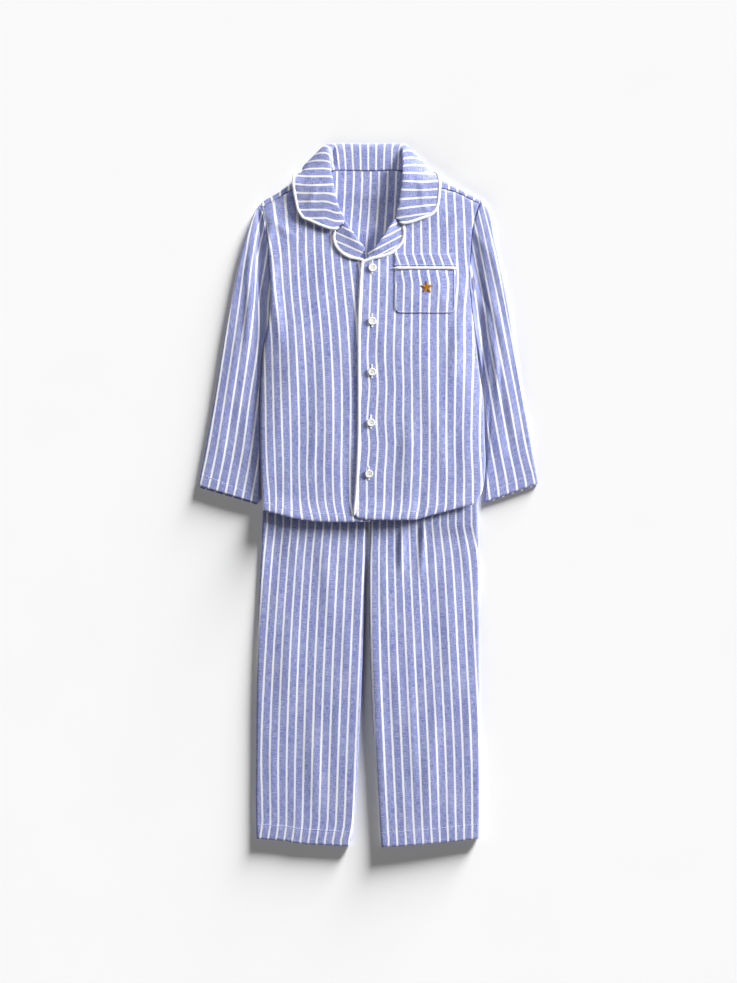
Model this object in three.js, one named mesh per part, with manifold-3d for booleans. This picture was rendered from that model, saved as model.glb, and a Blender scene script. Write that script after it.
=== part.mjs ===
// Pyjama set laid flat: a notch-collared, button-through shirt lying over a pair of trousers.
// Millimetres. +X is to the right and +Y to the neck, as seen from above, and +Z is up.
// Left and right in the names are the wearer's, so the left front is at +X.

import * as THREE from "three";
import { mergeVertices } from "three/addons/utils/BufferGeometryUtils.js";
import Module from "manifold-3d";

// Driving dimensions
const CLOTH = 1.6; // brushed cotton with its fold, as a rigid wall
const SEAM_GAP = 0.3; // between pieces that are sewn together
const LAID_HEIGHT = 6.8; // floor to the top of two layers of the shirt
const LEG_HEIGHT = 7.0; // floor to the top of two layers of a trouser leg
const OVERLAP_LIFT = 2.0; // how far the left front rides up on the right front
const COLLAR_LIFT = 2.3; // how far the back rides up on the fall of the collar
const REST_ON_LEGS = LEG_HEIGHT + 0.4; // underside of the shirt where it lies on the trousers
const COLLAR_CLOTH = 1.6;
const PIPING_RADIUS = 1.4;
const PIPING_GAP = 0.4; // between the piping and the edge that it finishes
const BUTTON_DIAMETER = 11.4; // 18 ligne
const BUTTON_HEIGHT = 2.4;

const BLUE = 0x8f9bd8;
const WHITE = 0xf4f5fa;
const BUTTON_WHITE = 0xeeeeea;

// Helpers for shapes

const smooth = (from, to, at) => THREE.MathUtils.smoothstep(at, from, to);
const mix = (a, b, t) => a + (b - a) * t;

// A smooth curve through the rows of a table, which are in rising order of the column `at`.
function through(table, at, value) {
  const last = table.length - 1;
  const slopeAt = (i) => {
    const before = table[Math.max(i - 1, 0)];
    const after = table[Math.min(i + 1, last)];
    return (after[value] - before[value]) / (after[at] - before[at]);
  };
  return (where) => {
    const place = THREE.MathUtils.clamp(where, table[0][at], table[last][at]);
    let i = 0;
    while (i < last - 1 && place > table[i + 1][at]) i += 1;
    const [start, end] = [table[i], table[i + 1]];
    const span = end[at] - start[at];
    const t = (place - start[at]) / span;
    const leave = slopeAt(i) * span;
    const arrive = slopeAt(i + 1) * span;
    const rise = end[value] - start[value];
    const bend = (leave - rise) * (1 - t) + (rise - arrive) * t;
    return mix(start[value], end[value], t) + t * (1 - t) * bend;
  };
}

// The height that soft folds add at a place. Each is a ridge, or a trough where its height is below 0.
function foldHeight(folds, x, y) {
  let height = 0;
  for (const fold of folds) {
    const turn = THREE.MathUtils.degToRad(fold.turn);
    const dx = x - fold.x;
    const dy = y - fold.y;
    const along = (dx * Math.cos(turn) + dy * Math.sin(turn)) / (fold.length / 2);
    const across = (dy * Math.cos(turn) - dx * Math.sin(turn)) / (fold.width / 2);
    if (Math.abs(along) < 1 && Math.abs(across) < 1) {
      height += fold.height * (Math.cos((Math.PI / 2) * along) * Math.cos((Math.PI / 2) * across)) ** 2;
    }
  }
  return height;
}

// The direction of a line of points at one of them. At either end it follows the curve through three points.
function wayAt(pointAt, here, last) {
  const between = here > 0 && here < last;
  if (between || last === Infinity) return pointAt(here + 1).clone().sub(pointAt(here - 1));
  const step = here === 0 ? 1 : -1;
  const near = pointAt(here + step).clone().sub(pointAt(here));
  if (last < 2) return near.multiplyScalar(step);
  const far = pointAt(here + 2 * step).clone().sub(pointAt(here));
  const nearRun = near.length();
  const farRun = nearRun + far.clone().sub(near).length();
  near.multiplyScalar(farRun / nearRun).addScaledVector(far, -nearRun / farRun);
  return near.multiplyScalar(step / (farRun - nearRun));
}

// A closed wall of cloth. Its outer face runs through a grid of points and its inner face lies one
// thickness behind it. On a ring, each row of the grid closes on itself.
function clothWall(grid, thickness, ring = false) {
  const rows = grid.length;
  const columns = grid[0].length;
  const column = (j) => (ring ? (j + columns) % columns : j);
  const positions = [];
  for (const point of grid.flat()) positions.push(...point);
  for (let i = 0; i < rows; i += 1) {
    for (let j = 0; j < columns; j += 1) {
      const acrossWay = wayAt((k) => grid[i][column(k)], j, ring ? Infinity : columns - 1);
      const alongWay = wayAt((k) => grid[k][j], i, rows - 1);
      const behind = acrossWay.cross(alongWay).normalize().multiplyScalar(-thickness).add(grid[i][j]);
      positions.push(...behind);
    }
  }
  const outer = (i, j) => i * columns + column(j);
  const inner = (i, j) => rows * columns + outer(i, j);
  const triangles = [];
  const quad = (a, b, c, d) => triangles.push(a, b, c, a, c, d);
  const steps = ring ? columns : columns - 1;
  for (let i = 0; i < rows - 1; i += 1) {
    for (let j = 0; j < steps; j += 1) {
      quad(outer(i, j), outer(i, j + 1), outer(i + 1, j + 1), outer(i + 1, j));
      quad(inner(i, j), inner(i + 1, j), inner(i + 1, j + 1), inner(i, j + 1));
    }
    if (!ring) {
      quad(outer(i, 0), outer(i + 1, 0), inner(i + 1, 0), inner(i, 0));
      quad(outer(i, steps), inner(i, steps), inner(i + 1, steps), outer(i + 1, steps));
    }
  }
  for (let j = 0; j < steps; j += 1) {
    quad(outer(0, j), inner(0, j), inner(0, j + 1), outer(0, j + 1));
    quad(outer(rows - 1, j), outer(rows - 1, j + 1), inner(rows - 1, j + 1), inner(rows - 1, j));
  }
  const geometry = new THREE.BufferGeometry();
  geometry.setAttribute("position", new THREE.Float32BufferAttribute(positions, 3));
  geometry.setIndex(triangles);
  return geometry;
}

// A filled cord of piping through a list of points.
function cord(points, radius, steps) {
  const sides = 6;
  const ring = Array.from({ length: sides }, (_, k) => {
    const angle = (k / sides) * Math.PI * 2;
    return new THREE.Vector2(Math.cos(angle) * radius, Math.sin(angle) * radius);
  });
  const extrudePath = new THREE.CatmullRomCurve3(points, false, "centripetal");
  const settings = { steps, bevelEnabled: false, extrudePath };
  const geometry = new THREE.ExtrudeGeometry(new THREE.Shape(ring), settings);
  geometry.deleteAttribute("normal");
  geometry.deleteAttribute("uv");
  return mergeVertices(geometry, 1e-4);
}

const group = new THREE.Group();
function addPiece(name, geometry, color, roughness = 0.95) {
  const material = new THREE.MeshStandardMaterial({ color, roughness, metalness: 0 });
  const mesh = new THREE.Mesh(geometry, material);
  mesh.name = name;
  group.add(mesh);
}

// Across a panel, each edge may curl round to meet the layer below it. curl is 0 where the edge
// lies flat and 1 where it turns through a quarter circle. The result lists {x, drop} from edge to edge.
const CURL_STEPS = 3;
function acrossPanel(left, right, curlLeft, curlRight, radius, flatSteps) {
  const curled = (curl) => {
    const turn = Math.max(curl, 0.02) * (Math.PI / 2);
    const bend = radius / Math.sin(turn);
    return Array.from({ length: CURL_STEPS }, (_, k) => {
      const angle = (turn * (k + 1)) / CURL_STEPS;
      return { reach: bend * Math.sin(angle), drop: bend * (1 - Math.cos(angle)) };
    });
  };
  const row = curled(curlLeft).reverse().map(({ reach, drop }) => ({ x: left + radius - reach, drop }));
  for (let k = 0; k <= flatSteps; k += 1) {
    row.push({ x: mix(left + radius, right - radius, k / flatSteps), drop: 0 });
  }
  for (const { reach, drop } of curled(curlRight)) row.push({ x: right - radius + reach, drop });
  return row;
}

// Trousers

const LEG_OUTLINE = [
  { y: -509, left: -161.5, leftInner: -27.3, rightInner: 18.8, right: 160.5 },
  { y: -460, left: -163, leftInner: -20.4, rightInner: 14.8, right: 161.2 },
  { y: -384, left: -162.5, leftInner: -15.1, rightInner: 10, right: 161.3 },
  { y: -300, left: -161.8, leftInner: -10.6, rightInner: 4.8, right: 161 },
  { y: -198, left: -160.2, leftInner: -6.8, rightInner: 1.2, right: 160.5 },
  { y: -136, left: -157.8, leftInner: -5.4, rightInner: 0.4, right: 160.3 },
  { y: -97, left: -156, leftInner: -4.6, rightInner: 0.6, right: 159.8 },
  { y: -46, left: -153.6, leftInner: -3.6, rightInner: 2.6, right: 158.8 },
  { y: -12, left: -152.4, leftInner: -0.6, rightInner: 0, right: 157.8 },
  { y: 20, left: -150.5, leftInner: -0.3, rightInner: 0, right: 154 },
  { y: 100, left: -139, leftInner: -0.3, rightInner: 0, right: 142 },
  { y: 172, left: -120, leftInner: -0.3, rightInner: 0, right: 121 },
];
const LEG_HEM = [
  { x: -162, y: -496.8 },
  { x: -121, y: -499.9 },
  { x: -97, y: -503.8 },
  { x: -27, y: -507.6 },
  { x: 18, y: -508.4 },
  { x: 84, y: -504.3 },
  { x: 161, y: -496.6 },
];
const CROTCH_Y = -8;
const WAIST_SEAM_Y = 172;
const WAISTBAND_TOP_Y = 203;
const LEG_BASE_Y = -502; // the lowest row of a leg before it settles on the curve of the hem
const HEM_SETTLES_FROM = 0.55; // share of the way down at which rows begin to settle
const LEG_BACK_UP = 1.2; // the back's hem lies this far above the front's
const LEG_FOLDS = [
  { x: 51, y: -78, turn: 88, length: 110, width: 17, height: 3.2 },
  { x: 74, y: -66, turn: 93, length: 96, width: 16, height: -1.7 },
  { x: -60, y: -120, turn: 97, length: 190, width: 40, height: 1.4 },
  { x: -116, y: -250, turn: 86, length: 260, width: 46, height: 1.2 },
  { x: -78, y: -395, turn: 93, length: 190, width: 38, height: 1.5 },
  { x: 118, y: -190, turn: 92, length: 280, width: 44, height: 1.3 },
  { x: 88, y: -400, turn: 88, length: 200, width: 42, height: 1.6 },
  { x: 44, y: -300, turn: 96, length: 210, width: 34, height: 1.1 },
];
const legOuterLeft = through(LEG_OUTLINE, "y", "left");
const legOuterRight = through(LEG_OUTLINE, "y", "right");
const legHemY = through(LEG_HEM, "x", "y");
const LEG_RADIUS = LEG_HEIGHT / 2 - SEAM_GAP / 2;

// One panel of a leg, from its side seam to the crotch seam or the inseam.
function legPanel(side, isFront, acrossSteps, downSteps) {
  const innerLine = through(LEG_OUTLINE, "y", side < 0 ? "leftInner" : "rightInner");
  const outerLine = side < 0 ? legOuterLeft : legOuterRight;
  const grid = [];
  for (let i = 0; i <= downSteps; i += 1) {
    const down = i / downSteps;
    const rowY = mix(WAIST_SEAM_Y - SEAM_GAP, LEG_BASE_Y, down);
    const innerCurl = 1 - smooth(CROTCH_Y - 26, CROTCH_Y, rowY);
    const inner = innerLine(rowY) + side * SEAM_GAP * 0.5;
    const [left, right] = side < 0 ? [outerLine(rowY), inner] : [inner, outerLine(rowY)];
    const [curlLeft, curlRight] = side < 0 ? [1, innerCurl] : [innerCurl, 1];
    const row = acrossPanel(left, right, curlLeft, curlRight, LEG_RADIUS, acrossSteps).map(({ x, drop }) => {
      const y = rowY + (legHemY(x) - LEG_BASE_Y) * smooth(HEM_SETTLES_FROM, 1, down);
      if (!isFront) return new THREE.Vector3(x, y + LEG_BACK_UP * down, drop);
      return new THREE.Vector3(x, y, LEG_HEIGHT + foldHeight(LEG_FOLDS, x, y) - drop);
    });
    grid.push(isFront ? row.reverse() : row);
  }
  return clothWall(grid, CLOTH);
}

// A flattened ring of cloth. The radius is that of the turn at each of its edges.
function waistRing() {
  const turnSteps = 4;
  const flatSteps = 10;
  const radius = LEG_HEIGHT / 2;
  const grid = [WAIST_SEAM_Y + SEAM_GAP, WAISTBAND_TOP_Y].map((y) => {
    const left = legOuterLeft(WAIST_SEAM_Y) + radius;
    const right = legOuterRight(WAIST_SEAM_Y) - radius;
    const row = [];
    for (let k = 0; k < flatSteps; k += 1) {
      row.push(new THREE.Vector3(mix(left, right, k / flatSteps), y, 0));
    }
    for (let k = 0; k < turnSteps; k += 1) {
      const angle = (Math.PI * k) / turnSteps;
      const reach = radius * Math.sin(angle);
      row.push(new THREE.Vector3(right + reach, y, radius - radius * Math.cos(angle)));
    }
    for (let k = 0; k < flatSteps; k += 1) {
      row.push(new THREE.Vector3(mix(right, left, k / flatSteps), y, LEG_HEIGHT));
    }
    for (let k = 0; k < turnSteps; k += 1) {
      const angle = (Math.PI * k) / turnSteps;
      const reach = radius * Math.sin(angle);
      row.push(new THREE.Vector3(left - reach, y, radius + radius * Math.cos(angle)));
    }
    return row;
  });
  return clothWall(grid.reverse(), CLOTH, true);
}

addPiece("leg_back_right", legPanel(-1, false, 4, 9), BLUE);
addPiece("leg_back_left", legPanel(1, false, 4, 9), BLUE);
addPiece("leg_front_right", legPanel(-1, true, 7, 17), BLUE);
addPiece("leg_front_left", legPanel(1, true, 7, 17), BLUE);
addPiece("waistband", waistRing(), BLUE);

// Shirt body

const BODY_OUTLINE = [
  { y: -40, left: -151.5, right: 154 },
  { y: -12, left: -152.8, right: 157.5 },
  { y: 9, left: -154, right: 166 },
  { y: 45, left: -155.8, right: 169.8 },
  { y: 83, left: -156.2, right: 168.6 },
  { y: 138, left: -156.2, right: 167 },
  { y: 170, left: -155, right: 162.2 },
  { y: 205, left: -152, right: 158 },
  { y: 232, left: -147.6, right: 154.6 },
  { y: 250, left: -143.6, right: 152 },
  { y: 292, left: -141.2, right: 147.2 },
  { y: 311, left: -141.4, right: 146 },
  { y: 337, left: -143.3, right: 146.9 },
  { y: 363, left: -144.6, right: 148.6 },
  { y: 387, left: -147.2, right: 150.8 },
  { y: 406, left: -151.2, right: 155.4 },
  { y: 422, left: -156.3, right: 160.6 },
  { y: 432, left: -159.6, right: 164 },
];
const UNDERARM_Y = 243;
const bodyLeft = through(BODY_OUTLINE, "y", "left");
const bodyRight = through(BODY_OUTLINE, "y", "right");
const BODY_RADIUS = LAID_HEIGHT / 2 - 1.5 * SEAM_GAP;
const SHOULDER_EASE = 0.993; // the back is this much narrower where it turns over the shoulder
const COLLAR_HALF_WIDTH = 60; // within this, the back lies flat below the neck seam
const SHOULDER_SEAM_GAP = 3.6 * SEAM_GAP; // room for the slope of the shoulder

// The silhouette of the shoulders, where the back turns over, and the shoulder seam in front of it.
const SHOULDER = [
  { x: -156.3, fold: 422.4, seam: 415.6 },
  { x: -134, fold: 436.4, seam: 428.4 },
  { x: -108, fold: 453.4, seam: 442.6 },
  { x: -85, fold: 459, seam: 449.6 },
  { x: -62, fold: 461.5, seam: 453 },
  { x: -50, fold: 469.2, seam: 458 },
  { x: 0, fold: 468.4, seam: 458 },
  { x: 50, fold: 469.2, seam: 458 },
  { x: 62, fold: 461.5, seam: 451 },
  { x: 85, fold: 459, seam: 447.5 },
  { x: 104, fold: 456.6, seam: 444.2 },
  { x: 126, fold: 446.8, seam: 438.4 },
  { x: 150, fold: 434, seam: 427.2 },
  { x: 160.6, fold: 428.2, seam: 421.6 },
];
const shoulderFold = through(SHOULDER, "x", "fold");
const shoulderSeam = through(SHOULDER, "x", "seam");

// The height of the shirt's underside: on the trousers, on the collar's fall or on the floor.
function shirtRest(x, y) {
  const onWaist = 1 - smooth(WAISTBAND_TOP_Y + 16, WAISTBAND_TOP_Y + 58, y);
  const legY = Math.min(y, WAIST_SEAM_Y);
  const beyond = Math.max(legOuterLeft(legY) - x, x - legOuterRight(legY));
  const onLegs = 1 - smooth(18, 42, beyond);
  const onFall = smooth(416, 440, y) * (1 - smooth(98, 124, Math.abs(x)));
  return REST_ON_LEGS * onWaist * onLegs + COLLAR_LIFT * onFall;
}

const FRONT_FOLDS = [
  { x: -133, y: 262, turn: 96, length: 150, width: 22, height: 2.6 },
  { x: -110, y: 180, turn: 84, length: 250, width: 46, height: 1.5 },
  { x: -58, y: 120, turn: 92, length: 280, width: 52, height: 1.3 },
  { x: -70, y: 300, turn: 80, length: 170, width: 40, height: 1.1 },
  { x: -127, y: 388, turn: -42, length: 74, width: 18, height: 1.3 },
  { x: 128, y: 215, turn: 82, length: 190, width: 32, height: 2 },
  { x: 92, y: 130, turn: 96, length: 240, width: 48, height: 1.4 },
  { x: 60, y: 60, turn: 90, length: 170, width: 36, height: 1.2 },
  { x: 122, y: 385, turn: 60, length: 84, width: 24, height: 1.3 },
  { x: 74, y: -10, turn: 88, length: 70, width: 22, height: -1.2 },
  { x: 140, y: 60, turn: 88, length: 130, width: 30, height: 1.2 },
];
const BACK_HEM_UP = 3; // the back's hem lies this far above the front's

const FRONT_HEM = [
  { x: -153, y: -21.8 },
  { x: -135, y: -26.2 },
  { x: -109, y: -33.2 },
  { x: -79, y: -37.4 },
  { x: -42, y: -38.8 },
  { x: 2, y: -38.4 },
];
const OVERLAP_HEM = [
  { x: -19.5, y: -30 },
  { x: -12, y: -33.6 },
  { x: 0, y: -35.2 },
  { x: 69, y: -35.2 },
  { x: 81, y: -31.4 },
  { x: 108, y: -24.4 },
  { x: 136, y: -16.6 },
  { x: 157, y: -12.4 },
];
const rightHem = through(FRONT_HEM, "x", "y");
const leftHem = through(OVERLAP_HEM, "x", "y");

// A row of a panel between its hem and its top edge. Both depend on where each point ends up across.
function settledRow(lineAt, hemY, topY, up) {
  return lineAt(0).map((_, j) => {
    let y = mix(hemY(0), topY(0), up);
    for (let pass = 0; pass < 6; pass += 1) {
      const { x } = lineAt(y)[j];
      y = mix(hemY(x), topY(x), up);
    }
    return { ...lineAt(y)[j], y };
  });
}

// Back: from the hem to the shoulder, then over the shoulder's fold to the shoulder seam.
function backPanel() {
  const acrossSteps = 12;
  const upSteps = 15;
  const turnSteps = 4;
  const hemY = (x) => (x < 0 ? rightHem(x) : leftHem(x)) + BACK_HEM_UP;
  const sideCurl = (y) => 1 - smooth(UNDERARM_Y - 18, UNDERARM_Y + 6, y);
  const turnRadius = LAID_HEIGHT / 2;
  const lineAt = (y) => {
    const curl = sideCurl(y);
    const [left, right] = [bodyLeft(y) + SEAM_GAP, bodyRight(y) - SEAM_GAP];
    return acrossPanel(left, right, curl, curl, BODY_RADIUS, acrossSteps);
  };
  const topY = (x) => shoulderFold(x) - turnRadius;
  const grid = [];
  for (let i = 0; i <= upSteps; i += 1) {
    const row = settledRow(lineAt, hemY, topY, i / upSteps);
    grid.push(row.map(({ x, y, drop }) => {
      const easedX = x * mix(1, SHOULDER_EASE, smooth(396, 416, y));
      return new THREE.Vector3(easedX, y, shirtRest(x, y) + drop);
    }));
  }
  const top = grid[upSteps];
  for (let k = 1; k <= turnSteps + 1; k += 1) {
    grid.push(top.map((base) => {
      const turned = smooth(COLLAR_HALF_WIDTH, COLLAR_HALF_WIDTH + 24, Math.abs(base.x));
      const angle = (Math.PI * Math.min(k, turnSteps)) / turnSteps;
      const run = k > turnSteps ? base.y - shoulderSeam(base.x) - 2 * SEAM_GAP : 0;
      const overY = base.y + turnRadius * Math.sin(angle) - run;
      const overZ = base.z + turnRadius * (1 - Math.cos(angle));
      const flatY = base.y + (k * turnRadius * 0.9) / (turnSteps + 1);
      const y = mix(flatY, overY, turned);
      const side = base.x < 0 ? bodyLeft : bodyRight;
      const x = base.x * mix(1, side(y) / side(base.y), turned);
      return new THREE.Vector3(x, y, mix(base.z, overZ, turned));
    }));
  }
  return clothWall(grid.reverse(), CLOTH);
}
addPiece("shirt_back", backPanel(), BLUE);

// The free edge of each front: under the collar, down the roll line of the lapel, then the front edge.
const RIGHT_EDGE = [
  { y: -40, x: 0.6 },
  { y: -32, x: 6 },
  { y: -10, x: 12 },
  { y: 40, x: 14 },
  { y: 320, x: 15 },
  { y: 338, x: 5 },
  { y: 350, x: -6 },
  { y: 366, x: -17.4 },
  { y: 388, x: -33 },
  { y: 398, x: -42 },
  { y: 410, x: -53 },
  { y: 425, x: -59 },
  { y: 440, x: -68 },
  { y: 460, x: -82 },
];
const LEFT_EDGE = [
  { y: -36, x: -19.4 },
  { y: -27, x: -18.4 },
  { y: 18, x: -14.8 },
  { y: 94, x: -12 },
  { y: 245, x: -11.8 },
  { y: 302, x: -9.6 },
  { y: 334, x: -7 },
  { y: 341, x: -3.6 },
  { y: 350, x: 6.4 },
  { y: 368, x: 22.8 },
  { y: 388, x: 35 },
  { y: 398, x: 42 },
  { y: 410, x: 54 },
  { y: 425, x: 60 },
  { y: 440, x: 68 },
  { y: 460, x: 82 },
];
const rightEdge = through(RIGHT_EDGE, "y", "x");
const leftEdge = through(LEFT_EDGE, "y", "x");

// The top of each front where it lies on the layers below it.
const rightTop = (x, y) => shirtRest(x, y) + LAID_HEIGHT + foldHeight(FRONT_FOLDS, x, y);
const leftTop = (x, y) => rightTop(x, y) + OVERLAP_LIFT * (1 - smooth(22, 50, x));

function frontPanel(side) {
  const acrossSteps = 7;
  const upSteps = 22;
  const [freeEdge, sideLine] = side < 0 ? [rightEdge, bodyLeft] : [leftEdge, bodyRight];
  const [hemY, topAt] = side < 0 ? [rightHem, rightTop] : [leftHem, leftTop];
  const lineAt = (y) => {
    const curl = 1 - smooth(UNDERARM_Y - 18, UNDERARM_Y + 6, y);
    const sideX = sideLine(y) - side * SEAM_GAP;
    if (side < 0) return acrossPanel(sideX, freeEdge(y), curl, 0, BODY_RADIUS, acrossSteps);
    return acrossPanel(freeEdge(y), sideX, 0, curl, BODY_RADIUS, acrossSteps);
  };
  const seamY = (x) => shoulderSeam(x) - SHOULDER_SEAM_GAP;
  const grid = [];
  for (let i = 0; i <= upSteps; i += 1) {
    const row = settledRow(lineAt, hemY, seamY, i / upSteps);
    grid.push(row.map(({ x, y, drop }) => {
      const atSide = Math.abs(x) > COLLAR_HALF_WIDTH ? drop : 0;
      return new THREE.Vector3(x, y, topAt(x, y) - atSide);
    }));
  }
  return clothWall(grid, CLOTH);
}
addPiece("front_right", frontPanel(-1), BLUE);
addPiece("front_left", frontPanel(1), BLUE);

// Sleeves: each is one flattened tube from the armhole to the cuff.

const SLEEVE_OUTER = {
  right: [
    { x: -157.6, y: 420.6 },
    { x: -163.4, y: 414 },
    { x: -177.3, y: 377.7 },
    { x: -202, y: 264 },
    { x: -224.5, y: 131 },
    { x: -246.2, y: 13.9 },
  ],
  left: [
    { x: 163, y: 427.6 },
    { x: 173.6, y: 412 },
    { x: 182.4, y: 370 },
    { x: 197.6, y: 300 },
    { x: 219.2, y: 170 },
    { x: 246.2, y: 17.5 },
  ],
};
const SLEEVE_INNER = {
  right: [
    { x: -146.4, y: 240 },
    { x: -153.5, y: 205 },
    { x: -157.6, y: 150 },
    { x: -158, y: 60 },
    { x: -158.6, y: -12 },
  ],
  left: [
    { x: 154.6, y: 240 },
    { x: 160, y: 205 },
    { x: 169, y: 146 },
    { x: 171.4, y: 50 },
    { x: 167.6, y: -10 },
  ],
};
const SLEEVE_FOLDS = [
  { x: -168, y: 250, turn: 80, length: 170, width: 26, height: 3.4 },
  { x: -158, y: 300, turn: 92, length: 100, width: 18, height: -1.6 },
  { x: -196, y: 190, turn: 78, length: 210, width: 34, height: 1.8 },
  { x: -176, y: 90, turn: 84, length: 130, width: 30, height: 1.6 },
  { x: -214, y: 80, turn: 82, length: 110, width: 26, height: 1.2 },
  { x: 168, y: 330, turn: -66, length: 150, width: 24, height: 3.2 },
  { x: 180, y: 250, turn: -72, length: 160, width: 26, height: 2.2 },
  { x: 204, y: 150, turn: -78, length: 190, width: 34, height: 1.7 },
  { x: 190, y: 70, turn: -84, length: 120, width: 30, height: 1.5 },
  { x: 224, y: 70, turn: -76, length: 90, width: 24, height: 1.2 },
];
const CUFF_BACK_DROP = 2.2; // the lower layer of each cuff shows this far below the upper
const ARMHOLE_SHARE = 0.22; // share of the sleeve's length over which it takes the curve of the armhole

function sleeveTube(name, side) {
  const downSteps = 13;
  const topSteps = 8;
  const turnSteps = 3;
  const radius = LAID_HEIGHT / 2;
  const edgeCurve = (rows) => {
    const points = rows.map(({ x, y }) => new THREE.Vector3(x, y, 0));
    return new THREE.CatmullRomCurve3(points, false, "centripetal");
  };
  const outerCurve = edgeCurve(SLEEVE_OUTER[name]);
  const innerCurve = edgeCurve(SLEEVE_INNER[name]);
  const armholeX = (y) => (side < 0 ? bodyLeft(y) : bodyRight(y)) + side * 2 * SEAM_GAP;
  // How far the armhole bows away from a straight line between its two ends.
  const [shoulder, underarm] = [outerCurve.getPoint(0), innerCurve.getPoint(0)];
  const bowAt = (share) => armholeX(mix(shoulder.y, underarm.y, share)) - mix(shoulder.x, underarm.x, share);
  const grid = [];
  for (let i = 0; i <= downSteps; i += 1) {
    const down = i / downSteps;
    const outer = outerCurve.getPointAt(down);
    const inner = innerCurve.getPointAt(down);
    const way = inner.clone().sub(outer).normalize();
    const downWay = outerCurve.getTangentAt(down);
    const fromOuter = outer.clone().addScaledVector(way, radius);
    const fromInner = inner.clone().addScaledVector(way, -radius);
    const atArmhole = 1 - smooth(0, ARMHOLE_SHARE, down);
    const place = (share, reach, z) => {
      const point = fromOuter.clone().lerp(fromInner, share).addScaledVector(way, reach);
      point.x += bowAt(share) * atArmhole;
      point.z = z;
      return point;
    };
    const row = [];
    for (let k = 0; k <= topSteps; k += 1) {
      const point = place(k / topSteps, 0, LAID_HEIGHT);
      const offEdge = Math.sin((Math.PI * (k + 0.4)) / (topSteps + 0.8));
      point.z += foldHeight(SLEEVE_FOLDS, point.x, point.y) * offEdge;
      row.push(point);
    }
    for (let k = 1; k < turnSteps + 1; k += 1) {
      const angle = (Math.PI * k) / (turnSteps + 1);
      row.push(place(1, radius * Math.sin(angle), radius + radius * Math.cos(angle)));
    }
    for (let k = topSteps; k >= 0; k -= 1) {
      const point = place(k / topSteps, 0, 0);
      point.addScaledVector(downWay, CUFF_BACK_DROP * smooth(0.85, 1, down));
      row.push(point);
    }
    for (let k = 1; k < turnSteps + 1; k += 1) {
      const angle = (Math.PI * k) / (turnSteps + 1);
      row.push(place(0, -radius * Math.sin(angle), radius - radius * Math.cos(angle)));
    }
    grid.push(side < 0 ? row.reverse() : row);
  }
  return clothWall(grid, CLOTH, true);
}
addPiece("sleeve_right", sleeveTube("right", -1), BLUE);
addPiece("sleeve_left", sleeveTube("left", 1), BLUE);

// Collar: each row is a section from the neck seam, up the stand, over the roll and down the fall.
// The turn is a point on the fall, which is its outermost one where the fall goes round to the back.

const COLLAR_SECTIONS = [
  { neck: [-46, 406, 7], roll: [-33.5, 399.5, 11], turn: [-47.5, 387, 9.6], edge: [-93, 402, 8.9] },
  { neck: [-50, 415, 7], roll: [-39.4, 409, 13], turn: [-72, 404, 10.4], edge: [-99.5, 411.5, 9.2] },
  { neck: [-54, 425, 7], roll: [-44, 421, 14.4], turn: [-78, 419, 11.2], edge: [-102.7, 424.6, 9.3] },
  { neck: [-58, 438, 7.6], roll: [-48.2, 438, 15], turn: [-82, 436, 12.4], edge: [-105.6, 440, 10.3] },
  { neck: [-60, 448, 8.2], roll: [-50.4, 451, 15], turn: [-84, 450, 13.4], edge: [-106.6, 452, 10.6] },
  { neck: [-60.4, 457, 8.2], roll: [-52.4, 462, 14.6], turn: [-88, 463.5, 12.6], edge: [-104, 464.6, 6.4] },
  { neck: [-58.6, 463.4, 7.6], roll: [-54.2, 473, 13.4], turn: [-95.4, 473.4, 4.4], edge: [-92.6, 465.4, 0.4] },
  { neck: [-56.6, 466.4, 6.6], roll: [-56, 486, 11.4], turn: [-85.6, 485, 4], edge: [-80, 459, 0] },
  { neck: [-53.4, 470, 5.6], roll: [-57.6, 498, 8.4], turn: [-74, 497, 3.4], edge: [-66, 455.5, 0] },
  { neck: [-48, 470.6, 4.2], roll: [-54.6, 504.4, 5.4], turn: [-63, 506.4, 2.4], edge: [-54, 453.5, 0] },
  { neck: [-38, 470.8, 4], roll: [-42, 505.8, 4.5], turn: [-44, 508.6, 2.1], edge: [-42, 453, 0] },
  { neck: [0, 470, 4], roll: [0, 505.8, 4.4], turn: [0, 508.4, 2], edge: [0, 453, 0] },
  { neck: [34, 470.8, 4], roll: [36, 505.8, 4.5], turn: [38, 508.6, 2.1], edge: [36, 453, 0] },
  { neck: [44, 470.6, 4.2], roll: [47.6, 504.4, 5.4], turn: [55, 506.4, 2.4], edge: [48, 453.5, 0] },
  { neck: [50, 470, 5.6], roll: [50.6, 498, 8.4], turn: [65.4, 497, 3.4], edge: [59, 455.5, 0] },
  { neck: [54, 466.4, 6.6], roll: [50.4, 485, 11.4], turn: [77.6, 484, 4], edge: [72, 459, 0] },
  { neck: [56.4, 463.4, 7.6], roll: [49.6, 473, 13.4], turn: [88, 473.4, 4.4], edge: [85.6, 465.4, 0.4] },
  { neck: [58.4, 457, 8.2], roll: [49, 463, 14.6], turn: [82, 463.6, 12.6], edge: [98, 464.6, 6.4] },
  { neck: [58.6, 448, 8.2], roll: [48.2, 451, 15], turn: [79, 450, 13.4], edge: [101.2, 452, 10.6] },
  { neck: [58, 438, 7.6], roll: [46.6, 438, 15], turn: [77, 436, 12.4], edge: [100.6, 439, 10.3] },
  { neck: [55, 427, 7], roll: [44.6, 424, 14.4], turn: [73, 421, 11.2], edge: [99, 422, 8.9] },
  { neck: [52, 418, 7], roll: [41.8, 413, 13], turn: [68, 406.5, 10.4], edge: [95, 412, 8.9] },
  { neck: [49, 410, 7], roll: [38.4, 402.5, 11], turn: [49, 394.8, 9.6], edge: [87, 405, 8.9] },
];

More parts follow.
